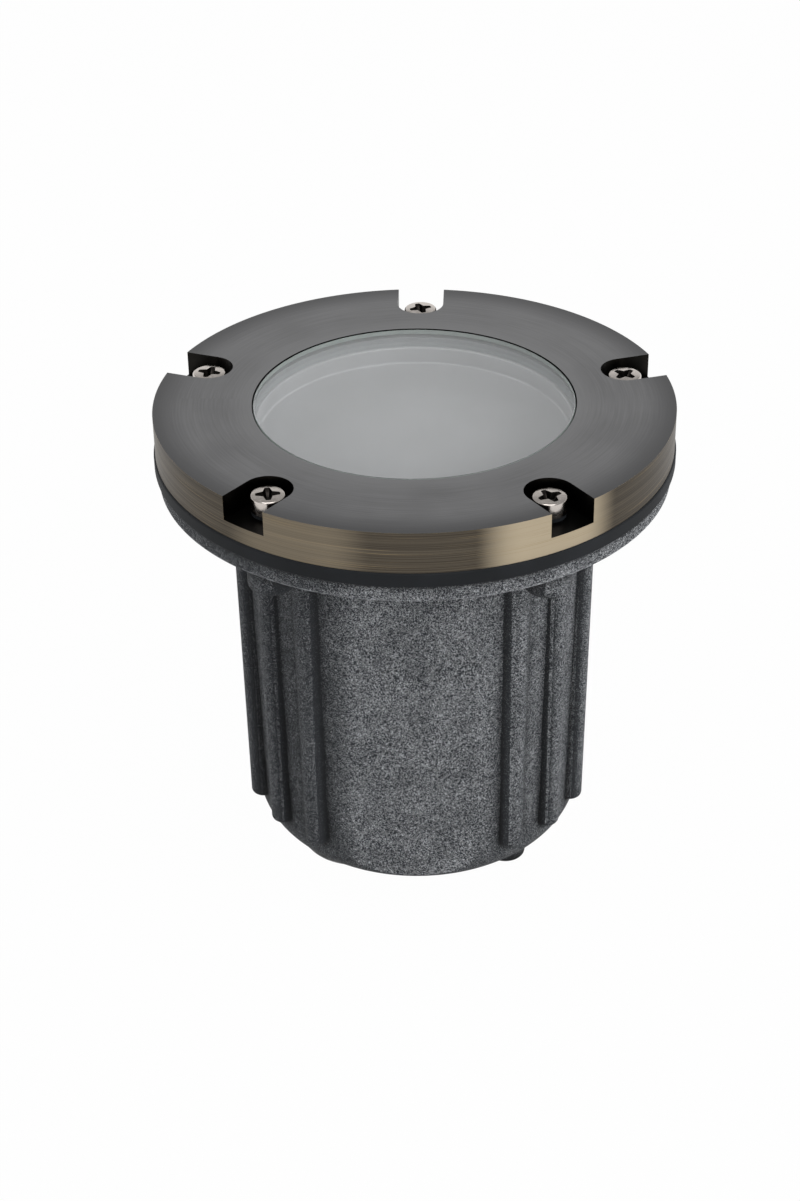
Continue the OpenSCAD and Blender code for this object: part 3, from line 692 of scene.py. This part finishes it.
body = canister()
combine(body, [lug(angle) for angle in SCREW_ANGLES] + [foot(*place) for place in FEET], "UNION")
holes = [hole(INSERT_R, lug_z + INSERT_FLOOR, rim_z + 1, screw_at(angle), TURN[::4])
         for angle in SCREW_ANGLES]
holes.append(hole(GLAND_HOLE_R, base_z - 1, floor_z + 1, GLAND, TURN[::2]))
combine(body, holes, "DIFFERENCE")
dress(smooth(body, 40), composite, "well", "housing", "housing_flange", "screw_lugs", "feet")

# %% [markdown]
# The cover ring is a bronze casting, turned on its top and rim and then darkened in a bath. The bath
# leaves a satin film, grey on the top and brown on the rim. Handling wears it off the sharp edges,
# where the brass colour of the alloy shines. Painted highlights at some places round the rim turn the
# film pale there. The lathe's marks run round the axis: noise that changes fast with radius and height
# and slowly round the turn. Real marks are finer than the picture can show, so they are drawn coarser.

# %% Turned bronze finishes


def turned_marks(tree, across_mm, along_mm, detail=2.0):
    """Noise in thin lines round the axis, as a lathe tool leaves them."""
    parts, radius, _ = round_axis(tree)
    angle = add(tree, "Math", {0: parts["Y"], 1: parts["X"]}, operation="ARCTAN2")
    around_mm = add(tree, "Math", {0: angle, 1: cover_r / along_mm}, operation="MULTIPLY")
    out_mm = add(tree, "Math", {0: radius, 1: 1 / (across_mm * MM)}, operation="MULTIPLY")
    up_mm = add(tree, "Math", {0: parts["Z"], 1: 1 / (across_mm * MM)}, operation="MULTIPLY")
    lines = add(tree, "CombineXYZ", {0: out_mm, 1: around_mm, 2: up_mm})
    return add(tree, "TexNoise", {"Vector": lines, "Scale": 1.0, "Detail": detail,
                                  "Roughness": 0.6})


def satin_bronze():
    """Bronze with a dark chemical film, turned and left satin: the top of the cover."""
    material, tree, shader = blank_material("satin antique bronze")
    fine = turned_marks(tree, 0.5, 30)
    cloud = add(tree, "TexNoise", {"Vector": object_place(tree), "Scale": 38.0, "Detail": 3.0})
    tone = add(tree, "Mix", {0: 0.5, 2: fine, 3: cloud})
    share = add(tree, "MapRange", {"Value": tone, "From Min": 0.38, "From Max": 0.62})
    film = add(tree, "Mix", {0: share, 6: srgb("#7a7a7b"), 7: srgb("#8b8b8c")}, **BLEND)
    radius = round_axis(tree)[1]
    # The top is drawn darker toward the rim, and a painted sheen lightens it round the glass.
    for start, end, amount, tint in ((0.85, 1.01, 0.85, "#585859"), (0.74, 0.61, 0.6, "#939394")):
        near = add(tree, "MapRange", {"Value": radius, "From Min": start * cover_r * MM,
                                      "From Max": end * cover_r * MM, "To Max": amount},
                   interpolation_type="SMOOTHSTEP")
        film = add(tree, "Mix", {0: near, 6: film, 7: srgb(tint)}, **BLEND)
    rough = add(tree, "MapRange", {"Value": share, "To Min": 0.4, "To Max": 0.45})
    bump = add(tree, "Bump", {"Height": fine, "Strength": 0.06, "Distance": 0.00005})
    plug(tree, shader, {"Base Color": film, "Metallic": 1, "Roughness": rough, "Normal": bump})
    return material


# Painted highlights round the rim, drawn as thinner film: degrees to the right of the front, and how
# strong each is.
PAINTED_HIGHLIGHTS_ROUND = ((31, 1.0), (-24, 0.25), (108, 0.4), (165, 0.7), (-120, 0.5))
PAINTED_HIGHLIGHT_SPREAD = (0.955, 0.995)


def turned_bronze():
    """The same bronze on the turned rim, where the film is streaked, the brass shows through and
    highlights are painted at some places.
    """
    material, tree, shader = blank_material("turned antique bronze")
    line = turned_marks(tree, 0.22, 1500)
    mark = turned_marks(tree, 0.2, 60)
    tone = add(tree, "Mix", {0: 0.25, 2: line, 3: mark})
    share = add(tree, "MapRange", {"Value": tone, "From Min": 0.34, "From Max": 0.66})
    film = add(tree, "Mix", {0: share, 6: srgb("#403b35"), 7: srgb("#665e52")}, **BLEND)
    outward = round_axis(tree)[2]
    start, end = PAINTED_HIGHLIGHT_SPREAD
    # Painted highlights: at each place listed above the film turns pale.
    for degrees, amount in PAINTED_HIGHLIGHTS_ROUND:
        way = (math.sin(math.radians(degrees)), -math.cos(math.radians(degrees)), 0)
        near = add(tree, "VectorMath", {0: outward, 1: way}, operation="DOT_PRODUCT", out=1)
        near = add(tree, "MapRange", {"Value": near, "From Min": start, "From Max": end,
                                      "To Max": amount}, interpolation_type="SMOOTHSTEP")
        film = add(tree, "Mix", {0: near, 6: film, 7: srgb("#c8b99f")}, **BLEND)
    scratch = add(tree, "MapRange", {"Value": mark, "From Min": 0.62, "From Max": 0.7,
                                     "To Max": 0.7})
    colour = add(tree, "Mix", {0: scratch, 6: film, 7: srgb("#a8926c")}, **BLEND)
    rough = add(tree, "MapRange", {"Value": share, "To Min": 0.46, "To Max": 0.4})
    bump = add(tree, "Bump", {"Height": line, "Strength": 0.08, "Distance": 0.00005})
    # Grooves that run round the axis stretch a highlight across themselves.
    grooves = add(tree, "Tangent", direction_type="RADIAL", axis="Z")
    plug(tree, shader, {"Base Color": colour, "Metallic": 1, "Roughness": rough, "Normal": bump,
                        "Tangent": grooves, "Anisotropic": 0.95, "Anisotropic Rotation": 0.25})
    return material


def worn_bronze():
    """Bare bronze on a rubbed edge."""
    material, tree, shader = blank_material("worn bronze edge")
    wear = turned_marks(tree, 3.0, 9, 3.0)
    share = add(tree, "MapRange", {"Value": wear, "From Min": 0.4, "From Max": 0.62})
    colour = add(tree, "Mix", {0: share, 6: srgb("#8d7f66"), 7: srgb("#e6cb9c")}, **BLEND)
    plug(tree, shader, {"Base Color": colour, "Metallic": 1, "Roughness": 0.42})
    return material


def pocket_bronze():
    """The milled pockets, where the dark film is thick and nothing rubs it."""
    material, tree, shader = blank_material("dark milled bronze")
    film = add(tree, "TexNoise", {"Vector": object_place(tree), "Scale": 140.0})
    share = add(tree, "MapRange", {"Value": film, "From Min": 0.3, "From Max": 0.7})
    colour = add(tree, "Mix", {0: share, 6: srgb("#1d1c1a"), 7: srgb("#272523")}, **BLEND)
    plug(tree, shader, {"Base Color": colour, "Metallic": 1, "Roughness": 0.36})
    return material


# ring_finish gives the places in this list
BRONZES = [satin_bronze(), turned_bronze(), worn_bronze(), pocket_bronze()]
TOP, RIM, EDGE, POCKET = range(4)
print("finishes:", [material.name for material in BRONZES])

# %% [markdown]
# The ring itself is a turned section with five pockets milled in from its rim. A boolean cuts them, as
# the mill does, and a bevel then breaks every edge by nearly half a millimetre. Each face takes its
# finish from where it is: on top, on the rim, on a broken edge or down in a pocket.

# %% Cover ring
POCKET_R = 7.55
POCKET_DEPTH = 7.8
SHELF_DEPTH = 4
SCREW_HOLE_R = 2.8
EDGE_BREAK = 0.42
LIP_WIDTH = 3.25
LIP_GAP = 0.3
opening_r = lip_r - LIP_WIDTH
retainer_top_z = levels("lens_gasket")[0]


def pocket_cutter(angle):
    arc = [(screw_offset + POCKET_R * math.cos(a), POCKET_R * math.sin(a))
           for a in np.radians(np.linspace(90, 270, 33))]
    outline = [(cover_r + 5, -POCKET_R), (cover_r + 5, POCKET_R)] + arc
    cosine, sine = math.cos(angle), math.sin(angle)
    outline = [(x * cosine - y * sine, x * sine + y * cosine) for x, y in outline]
    return prism("pocket", outline, top_z - POCKET_DEPTH, top_z + 1)


def screw_hole(angle, low, high):
    return hole(SCREW_HOLE_R, low, high, screw_at(angle), TURN[::6])


def ring_finish(centre, normal):
    """Which of the bronzes a face of the ring takes."""
    radius = math.hypot(centre.x, centre.y)
    outward = (normal.x * centre.x + normal.y * centre.y) / radius
    near_rim = radius > cover_r - EDGE_BREAK - 0.1
    if normal.z < -0.3:
        return POCKET
    if near_rim and centre.z > top_z - EDGE_BREAK and 0.2 < normal.z < 0.95:
        return EDGE
    if near_rim and abs(normal.z) < 0.3 and outward > 0.97:
        return RIM
    if near_rim and abs(normal.z) < 0.3 and outward > 0.2:
        return EDGE
    if centre.z > top_z - 0.05 and normal.z > 0.95:
        return TOP
    if radius > screw_offset - POCKET_R - 0.5 and centre.z > top_z - POCKET_DEPTH - 0.5:
        return POCKET
    return RIM if near_rim else POCKET


def cover_ring():
    shelf_z = top_z - SHELF_DEPTH
    seat_r, lip_seat_r = retainer_r + LIP_GAP, lip_r + LIP_GAP
    section = [(opening_r, top_z), (cover_r, top_z), (cover_r, cover_z), (seat_r, cover_z),
               (seat_r, retainer_top_z), (lip_seat_r, retainer_top_z),
               (lip_seat_r, shelf_z), (opening_r, shelf_z)]
    ring = turned("cover_ring", section, FINE_TURN)
    cutters = [pocket_cutter(angle) for angle in SCREW_ANGLES]
    cutters += [screw_hole(angle, cover_z - 1, top_z) for angle in SCREW_ANGLES]
    combine(ring, cutters, "DIFFERENCE", "EXACT")
    bevel = ring.modifiers.new("break edges", "BEVEL")
    bevel.width = EDGE_BREAK * MM
    bevel.segments = 2
    bevel.limit_method = "ANGLE"
    bevel.angle_limit = math.radians(40)
    settle_modifiers(ring)
    for bronze in BRONZES:
        ring.data.materials.append(bronze)
    for face in ring.data.polygons:
        face.material_index = ring_finish(face.center / MM, face.normal)
    return smooth(ring, 25)


dress(cover_ring(), None, "cover", "cover_ring")

# %% [markdown]
# Under the ring lies a moulded rubber gasket, a little wider than the ring. Rubber is nearly black and
# dull, but it is smooth, so it pales where it is seen at a slant. The gland nut and its neighbours are
# black nylon, which has a finer and slightly glossier skin.

# %% Rubber and nylon


def gasket_rubber():
    """Moulded rubber, black and dull, with a faint bloom."""
    material, tree, shader = blank_material("moulded black rubber")
    place = object_place(tree)
    bloom = add(tree, "TexNoise", {"Vector": place, "Scale": 60.0, "Detail": 4.0})
    share = add(tree, "MapRange", {"Value": bloom, "From Min": 0.35, "From Max": 0.7})
    colour = add(tree, "Mix", {0: share, 6: srgb("#121416"), 7: srgb("#1a1c1f")}, **BLEND)
    skin = add(tree, "TexNoise", {"Vector": place, "Scale": 2500.0})
    bump = add(tree, "Bump", {"Height": skin, "Strength": 0.15, "Distance": 0.00003})
    plug(tree, shader, {"Base Color": colour, "Roughness": 0.65, "Specular IOR Level": 0.18,
                        "Normal": bump})
    return material


def black_nylon():
    """Moulded nylon, black, with a fine spark-eroded grain."""
    material, tree, shader = blank_material("moulded black nylon")
    grain = add(tree, "TexNoise", {"Vector": object_place(tree), "Scale": 1800.0, "Detail": 3.0})
    colour = add(tree, "Mix", {0: grain, 6: srgb("#121314"), 7: srgb("#1d1e20")}, **BLEND)
    bump = add(tree, "Bump", {"Height": grain, "Strength": 0.25, "Distance": 0.00005})
    plug(tree, shader, {"Base Color": colour, "Roughness": 0.42, "Normal": bump})
    return material


rubber, nylon = gasket_rubber(), black_nylon()


def rim_gasket():
    hole_r = retainer_r + 1
    section = rounded([(hole_r, rim_z, 0.5), (gasket_r, rim_z, 0.7),
                       (gasket_r, cover_z, 0.7), (hole_r, cover_z, 0.5)])
    gasket = turned("rim_gasket", section, FINE_TURN)
    cutters = [screw_hole(angle, rim_z - 1, cover_z + 1) for angle in SCREW_ANGLES]
    return smooth(combine(gasket, cutters, "DIFFERENCE"))


def gland_nut():
    """A cap nut with finger grips round its side."""
    high_z = levels("gland_nut")[1]
    nut_r = gland_nut_r
    mouth_r, bore_r, cap_t, grips = 6.5, 14.05, 2, 18
    angles = around(12 * grips)
    grip = 0.7 * np.clip(np.cos(grips * angles) * 1.8 - 0.6, 0, 1)
    rows = [(mouth_r + 0.4, 0), (nut_r - 2.2, 0), (nut_r - 1.3, 0.25), (nut_r - 0.8, 0.8)]
    rows += [(nut_r - 0.4 - grip * 0.5, 1.4), (nut_r - grip, 2.0), (nut_r - grip, high_z - 1.2)]
    rows += [(nut_r - 0.1 - grip * 0.4, high_z - 0.5), (nut_r - 0.6, high_z), (bore_r, high_z)]
    rows += [(bore_r, cap_t), (mouth_r, cap_t), (mouth_r, 0.4)]
    return smooth(turned("gland_nut", rows, angles, GLAND), 40)


dress(rim_gasket(), rubber, "well", "rim_gasket")
dress(gland_nut(), nylon, "gland_cap", "gland_nut")

# %% [markdown]
# The cover is held by five stainless pan head screws with a cross recess. The recess is a tapered
# cross that a driver fits, and the shank has a rolled thread, one turn in 0.8 mm. The thread shows
# only once the cover is lifted. A thread is a radius that falls and rises along the shank and moves
# on by one pitch in each turn, so the same turned shape makes it.

# %% Stainless steel


def bright_stainless():
    """Stainless steel, cold headed and tumbled bright, with a trace of warm tint."""
    material, tree, shader = blank_material("bright stainless steel")
    smear = add(tree, "TexNoise", {"Vector": object_place(tree), "Scale": 700.0, "Detail": 3.0,
                                   "Distortion": 0.5})
    colour = add(tree, "Mix", {0: smear, 6: srgb("#b9b0a9"), 7: srgb("#d8d2cc")}, **BLEND)
    rough = add(tree, "MapRange", {"Value": smear, "From Min": 0.35, "From Max": 0.7,
                                   "To Min": 0.12, "To Max": 0.26})
    bump = add(tree, "Bump", {"Height": smear, "Strength": 0.08, "Distance": 0.00005})
    plug(tree, shader, {"Base Color": colour, "Metallic": 1, "Roughness": rough, "Normal": bump})
    return material


def painted_recess_shade_steel():
    """The recess of a screw, painted dark with shade."""
    material, tree, shader = blank_material("steel with painted recess shade")
    plug(tree, shader, {"Base Color": srgb("#2a2725"), "Metallic": 1, "Roughness": 0.38})
    return material


stainless, painted_recess_shade = bright_stainless(), painted_recess_shade_steel()

# %% Cover screws
THREAD_PITCH = 0.8
THREAD_DEPTH = 0.42
SHANK_R = 2.45
RECESS_R = 3.75
RECESS_DEPTH = 2.6
RECESS_TURNS = (20, 75, 8, 32, 50)
CLIMB_STEPS = 6


def cross(angles, long, half_wide, taper=0.28):
    """The radius of a cross at each angle. Its wings narrow from a half width at the middle."""
    lean = np.abs((angles + math.pi / 4) % (math.pi / 2) - math.pi / 4)
    return np.minimum(long, half_wide / (np.sin(lean) + taper * np.cos(lean)))


def screw_head(at, turn):
    section = rounded([(0, head_z, 0), (screw_head_r, head_z, 0.25),
                       (screw_head_r, head_top_z - 0.2, 0.6), (0, head_top_z, 0)], 7)
    head = turned("head", section, TURN[::2], at)
    angles = around(128)
    wings = angles - math.radians(turn)
    rows = [(0, head_top_z + 0.5), (cross(wings, RECESS_R + 0.1, 1.9), head_top_z + 0.5),
            (cross(wings, RECESS_R - 0.3, 1.6), head_top_z - 0.7),
            (cross(wings, RECESS_R * 0.5, 1.0), head_top_z - RECESS_DEPTH + 0.5),
            (0, head_top_z - RECESS_DEPTH)]
    return combine(head, [turned("recess", rows, angles, at)], "DIFFERENCE", "EXACT")


def screw_shank(at):
    angles = TURN[::6]
    rows = [(0, tip_z), (SHANK_R - 0.7, tip_z)]
    for z in np.arange(tip_z + 0.4, head_z - 2.0, THREAD_PITCH / CLIMB_STEPS):
        phase = ((z - tip_z) / THREAD_PITCH - angles / (2 * math.pi)) % 1
        rows.append((SHANK_R - THREAD_DEPTH * np.abs(2 * phase - 1), z))
    rows += [(SHANK_R - 0.1, head_z - 1.8), (SHANK_R, head_z - 0.3), (SHANK_R + 0.3, head_z + 0.1)]
    return turned("shank", rows + [(0, head_z + 0.1)], angles, at)


def cover_screw(index):
    at = screw_at(SCREW_ANGLES[index])
    screw = combine(screw_head(at, RECESS_TURNS[index]), [screw_shank(at)], "UNION")
    screw.data.materials.clear()
    for material in (stainless, painted_recess_shade):
        screw.data.materials.append(material)
    # Painted shade: the faces down in the recess take the dark steel.
    for face in screw.data.polygons:
        centre = face.center / MM
        inside = math.hypot(centre.x - at[0], centre.y - at[1]) < RECESS_R + 0.2
        face.material_index = int(inside and head_z + 1 < centre.z < head_top_z - 0.3)
    return dress(smooth(screw, 35), None, f"screw_{index + 1}", f"cover_screw_{index + 1}")


for index in range(SCREWS):
    cover_screw(index)

# %% [markdown]
# The lens is a thick disc of soda-lime glass with a step that keeps it under the ring. Its ground edge
# looks green, since iron in the glass takes a little red out of light that crosses it lengthwise.
# Below it a frosted polycarbonate cup hides the lamp. Shadow and diffuse rays pass the glass without
# bending, which lets the lamps light the cup and costs nothing in the picture.

# %% Glass and frosted plastic


def lens_glass_finish(name, tint, roughness):
    """Clear glass with a few faint smears."""
    material, tree, shader = blank_material(name)
    smear = add(tree, "TexNoise", {"Vector": object_place(tree), "Scale": 90.0, "Detail": 3.0})
    rough = add(tree, "MapRange", {"Value": smear, "From Min": 0.4, "From Max": 0.8,
                                   "To Min": roughness, "To Max": roughness + 0.03})
    plug(tree, shader, {"Base Color": srgb(tint), "Transmission Weight": 1, "IOR": 1.52,
                        "Roughness": rough})
    rays = add(tree, "LightPath", out=None)
    passing = add(tree, "Math", {0: rays["Is Shadow Ray"], 1: rays["Is Diffuse Ray"]},
                  operation="MAXIMUM")
    clear = add(tree, "BsdfTransparent", {"Color": srgb("#fafafa")})
    mixed = add(tree, "MixShader", {0: passing, 1: shader.outputs[0], 2: clear})
    plug(tree, tree.nodes["Material Output"], {"Surface": mixed})
    return material


def ground_glass_edge():
    """The ground side of the lens: matt, pale and a little green."""
    material, tree, shader = blank_material("ground glass edge")
    plug(tree, shader, {"Base Color": srgb("#7b8481"), "Roughness": 0.6})
    return material


def frosted_polycarbonate():
    """Frosted polycarbonate: an even, soft grey with faint clouds."""
    material, tree, shader = blank_material("frosted polycarbonate")
    place = object_place(tree)
    cloud = add(tree, "TexNoise", {"Vector": place, "Scale": 45.0, "Detail": 6.0,
                                   "Roughness": 0.65})
    colour = add(tree, "Mix", {0: cloud, 6: srgb("#96989a"), 7: srgb("#a5a7aa")}, **BLEND)
    grain = add(tree, "TexNoise", {"Vector": place, "Scale": 1500.0})
    bump = add(tree, "Bump", {"Height": grain, "Strength": 0.2, "Distance": 0.00005})
    plug(tree, shader, {"Base Color": colour, "Roughness": 0.55, "Normal": bump})
    return material


clear_glass = lens_glass_finish("clear soda-lime glass", "#fcfcfb", 0.0)
ground_glass = ground_glass_edge()
frosted = frosted_polycarbonate()

# %% Lens and frosted cup
LENS_GAP = 0.35
CUP_WALL = 1.2
lip_top_z = levels("lens_seal")[0]


def lens():
    boss_r = opening_r - LENS_GAP
    section = rounded([(0, lens_z, 0), (lip_r, lens_z, 0.4), (lip_r, lip_top_z, 0.4),
                       (boss_r, lip_top_z, 0), (boss_r, lens_top_z, 0.45), (0, lens_top_z, 0)], 3)
    glass = turned("lens", section, FINE_TURN)
    for material in (clear_glass, ground_glass):
        glass.data.materials.append(material)
    for face in glass.data.polygons:
        face.material_index = int(abs(face.normal.z) < 0.95)
    return smooth(glass, 30)


def frosted_cup():
    inner_r, floor_top, rim_low = opening_r - CUP_WALL, cup_z + CUP_WALL, cup_rim_z - CUP_WALL
    section = rounded([(0, cup_z, 0), (opening_r, cup_z, 1.4), (opening_r, rim_low, 0.2),
                       (retainer_r, rim_low, 0.2), (retainer_r, cup_rim_z, 0.3),
                       (inner_r, cup_rim_z, 0.4), (inner_r, floor_top, 0.7), (0, floor_top, 0)], 5)
    return smooth(turned("cup", section), 40)


dress(lens(), None, "cover", "lens_glass")
dress(frosted_cup(), frosted, "cover", "diffuser")

# %% [markdown]
# The pieces inside stay as the CAD has them, since their shapes are right. Each gets the finish of its
# real material: zinc plated sheet steel, cast aluminium, steatite, brass and white nylon.

# %% Finishes of the pieces inside


def metal_finish(name, dark, light, rough_low, rough_high, grain_mm):
    """A bare or plated metal whose grain changes its tone and gloss a little."""
    material, tree, shader = blank_material(name)
    grain = add(tree, "TexNoise", {"Vector": object_place(tree), "Scale": 1 / (grain_mm * MM),
                                   "Detail": 4.0, "Roughness": 0.65})
    share = add(tree, "MapRange", {"Value": grain, "From Min": 0.36, "From Max": 0.66})
    colour = add(tree, "Mix", {0: share, 6: srgb(dark), 7: srgb(light)}, **BLEND)
    rough = add(tree, "MapRange", {"Value": share, "To Min": rough_low, "To Max": rough_high})
    bump = add(tree, "Bump", {"Height": grain, "Strength": 0.15, "Distance": 0.00005})
    plug(tree, shader, {"Base Color": colour, "Metallic": 1, "Roughness": rough, "Normal": bump})
    return material


def moulded_finish(name, dark, light, roughness, grain_mm):
    """A plain moulded or fired piece with a faint grain."""
    material, tree, shader = blank_material(name)
    grain = add(tree, "TexNoise", {"Vector": object_place(tree), "Scale": 1 / (grain_mm * MM),
                                   "Detail": 3.0})
    colour = add(tree, "Mix", {0: grain, 6: srgb(dark), 7: srgb(light)}, **BLEND)
    bump = add(tree, "Bump", {"Height": grain, "Strength": 0.12, "Distance": 0.00004})
    plug(tree, shader, {"Base Color": colour, "Roughness": roughness, "Normal": bump})
    return material


zinc = metal_finish("zinc plated steel", "#8f959b", "#b9bec2", 0.32, 0.5, 4)
aluminium = metal_finish("die cast aluminium", "#9a9da0", "#b4b6b8", 0.42, 0.56, 0.8)
brass = metal_finish("turned brass", "#a8853f", "#c9a55a", 0.25, 0.36, 1.5)
reflector = metal_finish("mirror coated glass", "#c9ccce", "#e6e8e9", 0.08, 0.16, 3)
steatite = moulded_finish("glazed steatite", "#dfdbd0", "#ebe8df", 0.28, 1.2)
white_nylon = moulded_finish("natural nylon", "#dcdad2", "#e9e7e1", 0.45, 0.6)
grey_plastic = moulded_finish("grey moulded plastic", "#8c9092", "#9da0a2", 0.5, 0.6)
capsule_glass = lens_glass_finish("fused quartz", "#f4f6f6", 0.05)

# %% Put the finishes on the CAD pieces
FINISHES = {
    "zinc": (zinc, ["plate_standoffs", "mounting_plate", "yoke"]),
    "stainless": (stainless, ["plate_screws", "pivot_bolt", "pivot_nut", "pivot_washer", "lamp_clip",
                              "retainer_screws", "screw_washers", "tilt_screws"]),
    "rubber": (rubber, ["gland_washer", "gland_seal", "plate_grommet", "lens_seal", "screw_seals"]),
    "nylon": (nylon, ["gland_body", "gland_locknut"]),
    "grey plastic": (grey_plastic, ["lens_retainer", "lens_gasket"]),
    "white nylon": (white_nylon, ["terminal_block", "friction_washer", "tilt_washers"]),
    "brass": (brass, ["threaded_inserts", "terminal_screws", "lamp_pins"]),
    "aluminium": (aluminium, ["lamp_ring"]),
    "reflector": (reflector, ["lamp_body"]),
    "steatite": (steatite, ["lamp_socket"]),
    "glass": (clear_glass, ["lamp_lens"]),
    "quartz": (capsule_glass, ["lamp_capsule"]),
}
for finish, (material, nodes) in FINISHES.items():
    for node in nodes:
        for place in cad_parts[node].material_slots:
            place.material = material
    print(f"{finish}: {', '.join(nodes)}")
